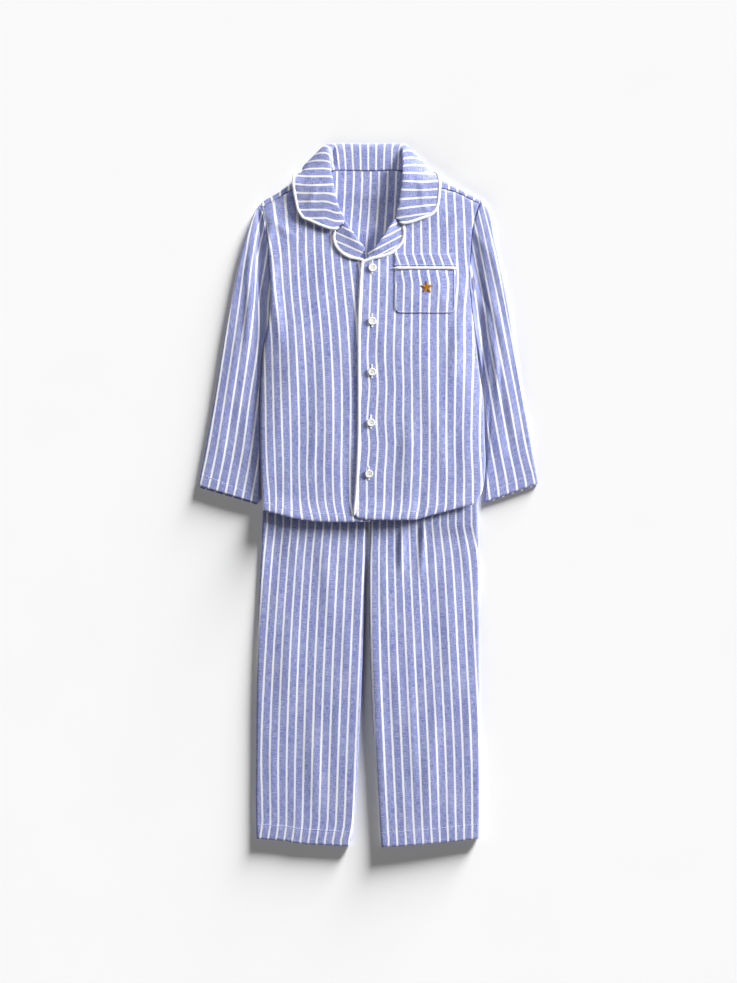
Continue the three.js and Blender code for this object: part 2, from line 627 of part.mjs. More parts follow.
// A wall through sections that are each given by a few corner points.
function sectionWall(sections, columns, alongSteps, acrossSteps, thickness) {
  const lines = columns.map((column) => new THREE.CatmullRomCurve3(
    sections.map((section) => new THREE.Vector3(...section[column])), false, "centripetal",
  ));
  const grid = [];
  for (let i = 0; i <= alongSteps; i += 1) {
    const corners = lines.map((line) => line.getPoint(i / alongSteps));
    const section = new THREE.CatmullRomCurve3(corners, false, "centripetal");
    const row = [];
    for (let j = 0; j <= acrossSteps; j += 1) {
      const point = section.getPoint(j / acrossSteps);
      point.z = Math.max(point.z, 0);
      row.push(point);
    }
    grid.push(row);
  }
  return { grid, geometry: clothWall([...grid].reverse(), thickness) };
}
const COLLAR_COLUMNS = ["neck", "roll", "turn", "edge"];
const collar = sectionWall(COLLAR_SECTIONS, COLLAR_COLUMNS, 32, 10, COLLAR_CLOTH);
addPiece("collar", collar.geometry, BLUE);

// Lapels: each is the front's own edge, turned back over the roll line, so its facing shows.

const LAPEL_RIGHT_SECTIONS = [
  { root: [-31, 393.6, 6.4], roll: [-32.8, 395, 10.6], turn: [-39, 387.6, 10], edge: [-46, 381.4, 9] },
  { root: [-24.6, 384.6, 6.2], roll: [-26.4, 385.4, 10.8], turn: [-38, 379, 10.2], edge: [-48.2, 373.6, 9] },
  { root: [-17, 373.6, 6.2], roll: [-18.6, 374.4, 10.6], turn: [-33, 368, 10], edge: [-45.8, 362.6, 9] },
  { root: [-10, 363.6, 6.2], roll: [-11.6, 364.4, 10.2], turn: [-26, 358, 9.8], edge: [-38.6, 353, 9] },
  { root: [-4.4, 357.2, 6.6], roll: [-5.8, 358, 9.8], turn: [-17, 350.6, 9.5], edge: [-26, 345.4, 9] },
  { root: [-5.2, 352.6, 7.4], roll: [-6.4, 353, 9.4], turn: [-10, 348.6, 9.2], edge: [-13.4, 343.6, 9] },
];
const LAPEL_LEFT_SECTIONS = [
  { root: [37, 396.6, 6.4], roll: [38, 398.2, 10.8], turn: [43.6, 394, 10.4], edge: [48.6, 389.6, 9.4] },
  { root: [29, 386, 7], roll: [30.2, 387, 11.6], turn: [41, 383.4, 11], edge: [50.2, 381, 9.6] },
  { root: [21, 373.6, 7.6], roll: [22.4, 374.6, 12.2], turn: [36, 371.6, 11.6], edge: [48.8, 369.6, 10] },
  { root: [13.6, 363.2, 8], roll: [15, 364.2, 12.2], turn: [29, 361.8, 11.8], edge: [42.4, 360.6, 10.6] },
  { root: [6.4, 354, 8.4], roll: [7.8, 355, 12], turn: [18, 352, 11.8], edge: [28.6, 350, 11.1] },
  { root: [-2, 348, 9.6], roll: [-1, 349.6, 11.6], turn: [-1.6, 345.4, 11.2], edge: [-2, 342, 10.9] },
];
const LAPEL_COLUMNS = ["root", "roll", "turn", "edge"];
const lapelRight = sectionWall([...LAPEL_RIGHT_SECTIONS].reverse(), LAPEL_COLUMNS, 9, 7, CLOTH);
const lapelLeft = sectionWall(LAPEL_LEFT_SECTIONS, LAPEL_COLUMNS, 9, 7, CLOTH);
addPiece("lapel_right", lapelRight.geometry, BLUE);
addPiece("lapel_left", lapelLeft.geometry, BLUE);

// Piping lies beside the edge of a wall, on what is below it. The edge is a list of points in order, each
// with a point inside the wall, so that out is known.
function besideEdge(edge, inside, topBelow) {
  return edge.map((point, i) => {
    const way = wayAt((k) => edge[k], i, edge.length - 1).setZ(0).normalize();
    const out = new THREE.Vector3(way.y, -way.x, 0);
    if (out.dot(inside[i].clone().sub(point)) > 0) out.negate();
    const place = point.clone().addScaledVector(out, PIPING_RADIUS + PIPING_GAP);
    place.z = Math.max(point.z - CLOTH / 2, topBelow(place.x, place.y) + PIPING_RADIUS + PIPING_GAP);
    return place;
  });
}
const shirtTop = (x, y) => (x < 0 ? rightTop(x, y) : leftTop(x, y));
const belowCollar = (x, y) => (y < shoulderFold(x) + PIPING_RADIUS ? shirtTop(x, y) : 0);

function collarPiping(grid, rows) {
  const firstColumn = 6;
  const lower = grid[0].slice(firstColumn);
  const edge = [...lower, ...grid.slice(1, rows).map((row) => row.at(-1))];
  const insideLower = [...grid[1].slice(firstColumn, -1), grid[1].at(-2)];
  const inside = [...insideLower, ...grid.slice(1, rows).map((row) => row.at(-2))];
  return cord(besideEdge(edge, inside, belowCollar), PIPING_RADIUS, 30);
}
addPiece("collar_piping_right", collarPiping(collar.grid, 8), WHITE);
addPiece("collar_piping_left", collarPiping([...collar.grid].reverse(), 8), WHITE);

const lapelPiping = ({ grid }) => {
  const column = (at) => grid.map((row) => row.at(at));
  return besideEdge(column(-1), column(-2), shirtTop);
};
const FRONT_PIPING = { top: 329, bottom: -29, steps: 18 };
const lapelPoint = new THREE.Vector3(-8.6, 335.6, 10.6); // where the lapel's piping turns down the front edge
const frontEdgePiping = [lapelPoint];
for (let step = 0; step <= FRONT_PIPING.steps; step += 1) {
  const y = mix(FRONT_PIPING.top, FRONT_PIPING.bottom, step / FRONT_PIPING.steps);
  const x = leftEdge(y) - PIPING_RADIUS - PIPING_GAP;
  frontEdgePiping.push(new THREE.Vector3(x, y, rightTop(x, y) + PIPING_RADIUS + 1.5 * PIPING_GAP));
}
addPiece("front_piping_right", cord(lapelPiping(lapelRight).reverse().slice(0, 9), PIPING_RADIUS, 16), WHITE);
const wholeFrontPiping = [...lapelPiping(lapelLeft), ...frontEdgePiping];
addPiece("front_piping_left", cord(wholeFrontPiping, PIPING_RADIUS, 48), WHITE);

// Pocket: it and its band lie on the left front and follow its surface.

const POCKET = { left: 38, right: 125.6, bottom: 262.6, top: 325, corner: 9 };
const POCKET_BAND = { left: 37.4, right: 127, bottom: 330.8, top: 348.8, corner: 0 };
const POCKET_CLOTH = 1.2;
const POCKET_GAP = SEAM_GAP + 0.4; // the front curves between the pocket's rows
const onFront = (x, y, height) => new THREE.Vector3(x, y, leftTop(x, y) + height);

function patch({ left, right, bottom, top, corner }, acrossSteps, rows) {
  const grid = rows.map((up) => {
    const y = mix(bottom, top, up);
    const intoCorner = Math.max(corner - (y - bottom), 0);
    const inset = corner - Math.sqrt(corner ** 2 - intoCorner ** 2);
    return Array.from({ length: acrossSteps + 1 }, (_, k) => {
      const x = mix(left + inset, right - inset, k / acrossSteps);
      return onFront(x, y, POCKET_GAP + POCKET_CLOTH);
    });
  });
  return clothWall(grid, POCKET_CLOTH);
}
addPiece("pocket", patch(POCKET, 8, [0, 0.04, 0.14, 0.35, 0.57, 0.79, 1]), BLUE);
addPiece("pocket_band", patch(POCKET_BAND, 8, [0, 0.5, 1]), BLUE);
const pocketPiping = Array.from({ length: 9 }, (_, k) => {
  const x = mix(POCKET_BAND.left, POCKET_BAND.right, k / 8);
  return onFront(x, (POCKET.top + POCKET_BAND.bottom) / 2, PIPING_RADIUS + SEAM_GAP + 0.1);
});
addPiece("pocket_piping", cord(pocketPiping, PIPING_RADIUS, 10), WHITE);

// Buttons, each sewn through a buttonhole of the left front, with a raised rim and four holes.

const BUTTONS = [
  { x: 5.9, y: 328.4 },
  { x: 5.7, y: 251 },
  { x: 5.4, y: 177.5 },
  { x: 3.9, y: 104.5 },
  { x: 1, y: 30.6 },
];
const BUTTON_RADIUS = BUTTON_DIAMETER / 2;
const buttonProfile = [
  [0, 0], [0.72, 0], [1, 0.45], [0.97, 0.85], [0.85, 1], [0.68, 0.72], [0, 0.62],
].map(([reach, height]) => new THREE.Vector2(reach * BUTTON_RADIUS, height * BUTTON_HEIGHT));

const wasm = await Module();
wasm.setup();
function toSolid(geometry) {
  const bare = geometry.clone();
  bare.deleteAttribute("normal");
  bare.deleteAttribute("uv");
  const merged = mergeVertices(bare, 1e-4);
  const vertProperties = merged.attributes.position.array;
  return new wasm.Manifold(new wasm.Mesh({ numProp: 3, vertProperties, triVerts: merged.index.array }));
}
function toGeometry(solid) {
  const mesh = solid.getMesh();
  const geometry = new THREE.BufferGeometry();
  geometry.setAttribute("position", new THREE.BufferAttribute(mesh.vertProperties, 3));
  geometry.setIndex(new THREE.BufferAttribute(mesh.triVerts, 1));
  return geometry;
}
function buttonSolid() {
  let solid = toSolid(new THREE.LatheGeometry(buttonProfile, 14).rotateX(Math.PI / 2));
  const [holeAt, holeRadius] = [1.15, 0.75];
  for (const [x, y] of [[1, 1], [1, -1], [-1, 1], [-1, -1]]) {
    const hole = new THREE.CylinderGeometry(holeRadius, holeRadius, BUTTON_HEIGHT * 2, 5).rotateX(Math.PI / 2);
    solid = solid.subtract(toSolid(hole.translate(x * holeAt, y * holeAt, 0)));
  }
  return toGeometry(solid);
}
BUTTONS.forEach(({ x, y }, i) => {
  const [above, below] = [onFront(x, y + BUTTON_RADIUS, 0), onFront(x, y - BUTTON_RADIUS, 0)];
  const tilt = Math.atan2(above.z - below.z, above.y - below.y);
  const seat = above.lerp(below, 0.5).setZ(above.z + SEAM_GAP + 0.2);
  addPiece(`button_${i + 1}`, buttonSolid().rotateX(tilt).translate(...seat), BUTTON_WHITE, 0.35);
});

export default group;
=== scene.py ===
# %% [markdown]
# A pyjama set, laid flat
# The set is a notch-collared, button-through shirt that lies over a pair of trousers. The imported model
# holds each cut piece as a plain rigid wall. Here each of them is dressed: it becomes a thin shell of
# striped cotton on the same form, with creases, hems, stitches, piping and buttons.
# All sizes in this file are millimetres until a mesh is made, because that is how a maker measures.

# %% Frame, imports and the camera
import math

import bpy
import numpy as np
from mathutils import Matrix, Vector


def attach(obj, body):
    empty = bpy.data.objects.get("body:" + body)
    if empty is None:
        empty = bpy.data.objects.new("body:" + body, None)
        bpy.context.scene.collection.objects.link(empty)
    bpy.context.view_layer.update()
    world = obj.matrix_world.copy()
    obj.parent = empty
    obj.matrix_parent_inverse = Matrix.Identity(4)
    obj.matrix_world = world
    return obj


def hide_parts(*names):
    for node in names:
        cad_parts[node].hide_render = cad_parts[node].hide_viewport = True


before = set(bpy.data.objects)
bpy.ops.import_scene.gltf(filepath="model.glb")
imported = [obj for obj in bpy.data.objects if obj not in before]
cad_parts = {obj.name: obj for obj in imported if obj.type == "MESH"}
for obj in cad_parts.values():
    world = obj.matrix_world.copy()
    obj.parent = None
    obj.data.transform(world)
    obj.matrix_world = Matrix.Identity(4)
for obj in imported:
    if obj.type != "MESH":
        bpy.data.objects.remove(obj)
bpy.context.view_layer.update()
MM = 0.001
FRAME_HEIGHT = 1.425  # metres of floor that the photograph's height takes in
CAMERA_HEIGHT = 3.2
CAMERA_PLACE = (0.0003, 0.0052, CAMERA_HEIGHT)
SENSOR = 36.0


def new_object(name, data):
    obj = bpy.data.objects.new(name, data)
    bpy.context.scene.collection.objects.link(obj)
    return obj


camera = new_object("camera", bpy.data.cameras.new("camera"))
camera.data.sensor_width = SENSOR
camera.data.lens = SENSOR * CAMERA_HEIGHT / FRAME_HEIGHT
camera.location = CAMERA_PLACE
bpy.context.scene.camera = camera

# %% [markdown]
# Curves through short tables
# A pattern cutter draws an outline through a few notches. The same is done here: a table holds a row for
# each notch, and `through` runs a smooth curve along one of its columns. Tables stay short enough to
# change by hand, and numpy works out all the points of a panel at once.

# %% Curves
def smooth(start, end, at):
    t = np.clip((np.asarray(at, float) - start) / (end - start), 0, 1)
    return t * t * (3 - 2 * t)


def mix(a, b, t):
    return a + (b - a) * t


def columns_of(names, rows):
    """A table as a dict of arrays, one for each named column."""
    return dict(zip(names.split(), np.array(rows, float).T))


def through(table, at, value):
    """A smooth curve through a table's rows, flat beyond its ends."""
    places, values = table[at], table[value]
    last = len(places) - 1
    before = np.clip(np.arange(last + 1) - 1, 0, last)
    after = np.clip(np.arange(last + 1) + 1, 0, last)
    slopes = (values[after] - values[before]) / (places[after] - places[before])

    def curve(where):
        place = np.clip(where, places[0], places[-1])
        i = np.clip(np.searchsorted(places, place, side="right") - 1, 0, last - 1)
        span = places[i + 1] - places[i]
        t = (place - places[i]) / span
        rise = values[i + 1] - values[i]
        bend = (slopes[i] * span - rise) * (1 - t) + (rise - slopes[i + 1] * span) * t
        return values[i] + rise * t + t * (1 - t) * bend

    return curve


def catmull(points, steps):
    """Points along a centripetal curve through a few others, as many in each stretch."""
    points = np.asarray(points, float)
    whole = np.vstack([2 * points[0] - points[1], points, 2 * points[-1] - points[-2]])
    stretches = len(points) - 1
    result = []
    for step in range(steps + 1):
        place = min(step / steps * stretches, stretches - 1e-9)
        i = int(place)
        t = place - i
        a, b, c, d = whole[i:i + 4]
        gaps = [max(np.linalg.norm(q - p), 1e-8) ** 0.5 for p, q in ((a, b), (b, c), (c, d))]
        gaps = [gap if gap > 1e-4 else gaps[1] for gap in gaps]
        leave = ((b - a) / gaps[0] - (c - a) / (gaps[0] + gaps[1]) + (c - b) / gaps[1]) * gaps[1]
        arrive = ((c - b) / gaps[1] - (d - b) / (gaps[1] + gaps[2]) + (d - c) / gaps[2]) * gaps[1]
        cubic = (2 * b - 2 * c + leave + arrive) * t ** 3
        result.append(b + leave * t + (3 * c - 3 * b - 2 * leave - arrive) * t ** 2 + cubic)
    return np.array(result)


def run_length(points):
    """The distance along a line of points, from its start."""
    steps = np.linalg.norm(np.diff(points, axis=0), axis=1)
    return np.concatenate([[0], np.cumsum(steps)])


def unit(ways):
    """The same directions, each 1 long."""
    return ways / np.maximum(np.linalg.norm(ways, axis=-1, keepdims=True), 1e-9)


def evenly(points, count):
    """The same line of points with even steps."""
    run = run_length(points)
    places = np.linspace(0, run[-1], count + 1)
    return np.stack([np.interp(places, run, points[:, k]) for k in range(points.shape[1])], axis=1)

# %% [markdown]
# Soft folds
# Pressed cotton that is laid out by hand keeps shallow, uneven folds. Each one is a row: where its middle
# lies, how far it turns from the X axis, and its length, width and height. A height below 0 is a trough.
# `lean` makes one side of a fold steep, as where the cloth tips over towards a seam.

# %% Folds
FOLD_COLUMNS = "x y turn length width height lean"


def folds_of(rows):
    """A table of folds. A row without a lean is even on both sides."""
    return columns_of(FOLD_COLUMNS, [(*row, 0)[:7] for row in rows])


def fold_height(folds, x, y):
    height = np.zeros(np.shape(x))
    for fx, fy, turn, length, width, tall, lean in zip(*folds.values()):
        angle = math.radians(turn)
        dx, dy = x - fx, y - fy
        along = (dx * math.cos(angle) + dy * math.sin(angle)) / (length / 2)
        across = (dy * math.cos(angle) - dx * math.sin(angle)) / (width / 2)
        across = across + lean * (1 - across ** 2)
        inside = (np.abs(along) < 1) & (np.abs(across) < 1)
        shape = np.cos(np.pi / 2 * np.clip(along, -1, 1)) * np.cos(np.pi / 2 * np.clip(across, -1, 1))
        height = height + np.where(inside, tall * shape ** 2, 0)
    return height

# %% Relief of hems and seams
def ripple(place, seed):
    """An uneven wave of height about 1, as thread pulls along a seam."""
    waves = ((11.3, 0.5), (7.1, 0.34), (17.9, 0.3), (4.6, 0.16))
    return sum(size * np.sin(2 * np.pi * place / length + seed * 1.7 * (k + 1))
               for k, (length, size) in enumerate(waves))


def hem_relief(up_from_hem, stitch_up, along, seed):
    """A folded hem is thicker up to its stitches, which sink in and pucker the cloth on both sides."""
    thicker = 0.45 * (1 - smooth(stitch_up - 0.6, stitch_up + 1.2, up_from_hem))
    groove = -0.32 * np.exp(-((up_from_hem - stitch_up) / 1.5) ** 2)
    pucker = 0.24 * ripple(along, seed) * np.exp(-(np.abs(up_from_hem - stitch_up) / 8.5) ** 1.5)
    return thicker + groove + pucker


def seam_relief(away, along, seed, depth=0.5, reach=7.0):
    """Beside a seam the cloth dips into it and puckers."""
    groove = -depth * np.exp(-(away / 2.2) ** 2)
    return groove + 0.22 * ripple(along, seed) * np.exp(-away / reach)

# %% [markdown]
# How high each layer lies
# The trousers lie on the floor. The shirt's back lies over their top, comes down slowly past the waistband
# and beside the legs, and near the neck it rides on the fall of its own collar. Every panel takes its
# height from these few functions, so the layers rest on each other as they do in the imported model.

# %% Layers
LAID_HEIGHT = 6.8
LEG_HEIGHT = 7.0
SEAM_GAP = 0.3
OVERLAP_LIFT = 1.5
COLLAR_LIFT = 2.3
HEM_LIFT = 2.5  # the doubled hem of the fronts stands up a little
REST_ON_LEGS = LEG_HEIGHT + 0.4
CROTCH_Y = -8
WAIST_SEAM_Y = 172
WAISTBAND_TOP_Y = 203
WAIST_DROP = (WAISTBAND_TOP_Y + 2, WAISTBAND_TOP_Y + 190)  # the shirt comes down slowly past the waistband
LEG_SIDE_DROP = (2, 62)  # and past the sides of the legs
FALL_UP = (416, 440)  # where the back climbs on to the collar's fall
FALL_OUT = (98, 124)  # and where it comes off it again at the side
HEM_LIFT_REACH = (0, 34)
OVERLAP_REACH = (60, 168)  # the lap flattens out over this stretch
UNDERARM_Y = 243
BODY_RADIUS = LAID_HEIGHT / 2 - 1.5 * SEAM_GAP
LEG_RADIUS = LEG_HEIGHT / 2 - SEAM_GAP / 2

# %% Outline of the trousers
LEG_OUTLINE = columns_of("y left left_inner right_inner right", [
    (-509, -161.5, -27.3, 18.8, 160.5),
    (-460, -163, -20.4, 14.8, 161.2),
    (-384, -162.5, -15.1, 10, 161.3),
    (-300, -161.8, -10.6, 4.8, 161),
    (-198, -160.2, -6.8, 1.2, 160.5),
    (-136, -157.8, -5.4, 0.4, 160.3),
    (-97, -156, -4.6, 0.6, 159.8),
    (-46, -153.6, -3.6, 2.6, 158.8),
    (-12, -152.4, -0.6, 0, 157.8),
    (20, -150.5, -0.3, 0, 154),
    (100, -139, -0.3, 0, 142),
    (172, -120, -0.3, 0, 121),
])
LEG_HEM = columns_of("x y", [
    (-162, -496.8), (-121, -499.9), (-97, -503.8), (-27, -507.6), (18, -508.4), (84, -504.3), (161, -496.6),
])
LEG_BASE_Y = -502
SIDES = ("left", "right")  # as seen from above, so the wearer's right is at the left
leg_outer = {side: through(LEG_OUTLINE, "y", side) for side in SIDES}
leg_inner = {side: through(LEG_OUTLINE, "y", side + "_inner") for side in SIDES}
leg_hem_y = through(LEG_HEM, "x", "y")
print("inseam", round(CROTCH_Y - float(leg_hem_y(-27))), "mm")

# %% Outline of the shirt
BODY_OUTLINE = columns_of("y left right", [
    (-40, -151.5, 154), (-12, -152.8, 157.5), (9, -154, 166), (45, -155.8, 169.8), (83, -156.2, 168.6),
    (138, -156.2, 167), (170, -155, 162.2), (205, -152, 158), (232, -147.6, 154.6), (250, -143.6, 152),
    (292, -141.2, 147.2), (311, -141.4, 146), (337, -143.3, 146.9), (363, -144.6, 148.6),
    (387, -147.2, 150.8), (406, -151.2, 155.4), (422, -156.3, 160.6), (432, -159.6, 164),
])
body_edge = {side: through(BODY_OUTLINE, "y", side) for side in SIDES}

SHOULDER = columns_of("x fold seam", [
    (-156.3, 422.4, 415.6), (-134, 436.4, 428.4), (-108, 453.4, 442.6), (-85, 459, 449.6),
    (-62, 461.5, 453), (-50, 469.2, 458), (0, 468.4, 458), (50, 469.2, 458), (62, 461.5, 451),
    (85, 459, 447.5), (104, 456.6, 444.2), (126, 446.8, 438.4), (150, 434, 427.2), (160.6, 428.2, 421.6),
])
shoulder_fold = through(SHOULDER, "x", "fold")
shoulder_seam = through(SHOULDER, "x", "seam")
chest = body_edge["right"](UNDERARM_Y) - body_edge["left"](UNDERARM_Y)
print("width of the body at the underarms", round(float(chest)), "mm")

# %% Folds of the fronts and the height of each layer
FRONT_FOLDS = folds_of([
    (-133, 262, 96, 150, 22, 2.6, 0.2),
    (-110, 180, 84, 250, 46, 1.5),
    (-58, 120, 92, 280, 52, 1.3),
    (-70, 300, 80, 170, 40, 1.1),
    (-127, 388, -42, 74, 18, 1.3),
    (128, 215, 82, 190, 32, 2),
    (92, 130, 96, 240, 48, 1.4),
    (60, 60, 90, 170, 36, 1.2),
    (122, 385, 60, 84, 24, 1.3),
    (74, -10, 88, 70, 22, -1.2),
    (140, 60, 88, 130, 30, 1.2),
    (-96, 352, 74, 96, 20, 0.5, 0.2),
    (-36, 205, 98, 120, 22, 0.5, -0.2),
    (-82, 62, 86, 128, 24, 0.6, 0.2),
    (-24, 72, 93, 150, 16, 0.45),
    (-128, 100, 88, 140, 20, 0.7, -0.2),
    (-118, 16, 70, 66, 22, 0.6),
    (40, 196, 86, 110, 20, 0.45, 0.2),
    (106, 62, 97, 120, 22, 0.6),
    (78, 232, 76, 60, 22, 0.5),
    (26, 118, 92, 130, 18, 0.3),
    (134, 292, 100, 76, 16, 0.7, 0.3),
    (30, 300, 84, 70, 20, 0.4),
    (-141, 292, 87, 190, 26, 2.6),
    (-144, 372, 80, 110, 20, 1.4),
    (30, 20, 88, 150, 34, -0.9, 0.3),
    (54, 70, 80, 120, 22, 0.6),
])


def shirt_rest(x, y):
    """The height of the shirt's underside."""
    on_waist = 1 - smooth(*WAIST_DROP, y)
    leg_y = np.minimum(y, WAIST_SEAM_Y)
    beyond = np.maximum(leg_outer["left"](leg_y) - x, x - leg_outer["right"](leg_y))
    on_legs = 1 - smooth(*LEG_SIDE_DROP, beyond)
    on_fall = smooth(*FALL_UP, y) * (1 - smooth(*FALL_OUT, np.abs(x)))
    return REST_ON_LEGS * on_waist * on_legs + COLLAR_LIFT * on_fall


def right_top(x, y):
    hem = mix(right_hem(x), left_hem(x), smooth(-30, 10, x))
    hem_lift = HEM_LIFT * (1 - smooth(*HEM_LIFT_REACH, y - hem))
    return shirt_rest(x, y) + LAID_HEIGHT + fold_height(FRONT_FOLDS, x, y) + hem_lift


def left_top(x, y):
    return right_top(x, y) + OVERLAP_LIFT * (1 - smooth(*OVERLAP_REACH, x))

# %% [markdown]
# A wall of cloth
# A panel starts as a grid of points on its outer face. A second face lies one thickness behind it, and a
# rim joins them. The rim is bulged a little, because a real edge is the fold of a hem or a seam turned in.
# Solidify could add the thickness, but then the edge would be square and the grid's order would be lost.
# Each vertex also carries its place in the flat cloth as a UV, in metres, and the stripes are drawn on it.

# %% Meshes and pieces
THICKNESS = 1.1
RIM_BULGE = 0.4  # share of the thickness


def cloth_mesh(name, points, faces, uvs, material):
    """A smooth mesh in metres, with each point's place in the flat cloth as its UV."""
    mesh = bpy.data.meshes.new(name)
    mesh.from_pydata((points * MM).tolist(), [], faces)
    layer = mesh.uv_layers.new(name="cloth")
    corners = np.empty(len(mesh.loops), dtype=np.int32)
    mesh.loops.foreach_get("vertex_index", corners)
    layer.data.foreach_set("uv", (uvs[corners] * MM).astype(np.float32).ravel())
    mesh.polygons.foreach_set("use_smooth", np.ones(len(mesh.polygons), dtype=bool))
    mesh.materials.append(material)
    mesh.update()
    return mesh


def sewn_on(name, mesh, node=None):
    """A finished mesh as a piece of the set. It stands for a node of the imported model, if one is named."""
    piece = new_object(name, mesh)
    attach(piece, "root")
    if node:
        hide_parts(node)
    return piece

# %% A closed wall
def quads(a, b, c, d):
    return np.stack([a.ravel(), b.ravel(), c.ravel(), d.ravel()], axis=1)


def grid_normals(grid, ring=False):
    if ring:
        across = np.roll(grid, -1, axis=1) - np.roll(grid, 1, axis=1)
    else:
        across = np.gradient(grid, axis=1, edge_order=2)
    along = np.gradient(grid, axis=0, edge_order=2)
    return unit(np.cross(across, along))


def wall(grid, uv, thickness=THICKNESS, ring=False):
    """The points, faces and UVs of a closed wall. Its outer face runs through the grid."""
    rows, columns = grid.shape[:2]
    inner = grid - grid_normals(grid, ring) * thickness
    points = [grid.reshape(-1, 3), inner.reshape(-1, 3)]
    uvs = [uv.reshape(-1, 2)] * 2
    index = np.arange(rows * columns).reshape(rows, columns)
    if ring:
        index = np.concatenate([index, index[:, :1]], axis=1)
    behind = index + rows * columns
    faces = [
        quads(index[:-1, :-1], index[:-1, 1:], index[1:, 1:], index[1:, :-1]),
        quads(behind[:-1, :-1], behind[1:, :-1], behind[1:, 1:], behind[:-1, 1:]),
    ]
    count = 2 * rows * columns
    edges = [(np.s_[0], np.s_[1], True), (np.s_[-1], np.s_[-2], False)]
    if not ring:
        edges += [(np.s_[:, 0], np.s_[:, 1], False), (np.s_[:, -1], np.s_[:, -2], True)]
    corner_middles = {}
    for at, next_to, forwards in edges:
        front, back, edge = index[at], behind[at], grid[at]
        out = unit(edge - grid[next_to])
        middle = (edge + inner[at]) / 2 + out * thickness * RIM_BULGE
        middle[:, 2] = np.maximum(middle[:, 2], 0)
        ids = []
        for k, vertex in enumerate(front[:len(edge)]):
            if vertex not in corner_middles:
                corner_middles[vertex] = count
                count += 1
                points.append(middle[k:k + 1])
                uvs.append(uv[at][k:k + 1])
            ids.append(corner_middles[vertex])
        if ring:
            ids.append(ids[0])
        ids = np.array(ids)
        if forwards:
            faces.append(quads(front[:-1], ids[:-1], ids[1:], front[1:]))
            faces.append(quads(ids[:-1], back[:-1], back[1:], ids[1:]))
        else:
            faces.append(quads(front[:-1], front[1:], ids[1:], ids[:-1]))
            faces.append(quads(ids[:-1], ids[1:], back[1:], back[:-1]))
    return np.concatenate(points), np.concatenate(faces).tolist(), np.concatenate(uvs)

# %% A piece with the size of its cut
def cloth_piece(name, grid, uv, thickness=THICKNESS, ring=False):
    """A wall of cloth that stands for the node of its name, and prints the size that it was cut to."""
    mesh = cloth_mesh(name + "_cloth", *wall(grid, uv, thickness, ring), COTTON)
    piece = sewn_on(name + "_cloth", mesh, name)
    closed = np.concatenate([grid, grid[:, :1]], axis=1) if ring else grid
    square_rows = closed[-1:] if ring else closed
    width = max(run_length(row)[-1] for row in square_rows) * MM
    length = max(run_length(closed[:, k])[-1] for k in range(closed.shape[1])) * MM
    print(f"{name}: cut {width / MM:.0f} x {length / MM:.0f} mm, {len(mesh.polygons)} faces")

# %% [markdown]
# Striped brushed cotton
# The cloth is a yarn-dyed plain weave: periwinkle threads with paler ones among them, and narrow white
# stripes along the warp. It is matt and faintly fuzzy. A picture of the cloth would fix its size and
# blur up close, so the stripes and threads are worked out from the UV, which is the flat cloth in metres.
# Real threads are about 0.35 mm apart. They are drawn 0.8 mm apart, because finer ones vanish at this
# distance.

# %% Colours and the node helper
def srgb(hex_colour):
    """A colour picked on a screen, turned to the linear light that Blender mixes."""
    parts = [int(hex_colour[k:k + 2], 16) / 255 for k in (1, 3, 5)]
    linear = [p / 12.92 if p <= 0.04045 else ((p + 0.055) / 1.055) ** 2.4 for p in parts]
    return (*linear, 1.0)


def new_material(name):
    material = bpy.data.materials.new(name)
    material.use_nodes = True
    material.node_tree.nodes.clear()
    return material, material.node_tree


def add(tree, kind, inputs=None, **settings):
    """Adds a node. inputs are values, or other nodes' sockets to link from, by name or place."""
    node = tree.nodes.new(kind)
    for key, value in settings.items():
        setattr(node, key, value)
    for key, value in (inputs or {}).items():
        if isinstance(value, bpy.types.NodeSocket):
            tree.links.new(value, node.inputs[key])
        else:
            node.inputs[key].default_value = value
    return node

# %% Sizes of the cloth
STRIPE_PITCH = 12.3
STRIPE_WIDTH = 2.75
STRIPE_START = 0.46  # half a pitch, less the middle of a stripe's wandering
STRIPE_STRAY = 0.9  # how far a stripe wanders sideways
THREAD = 0.8  # spacing that the threads are drawn at
SLUB = 9.0  # length of a thicker stretch of thread

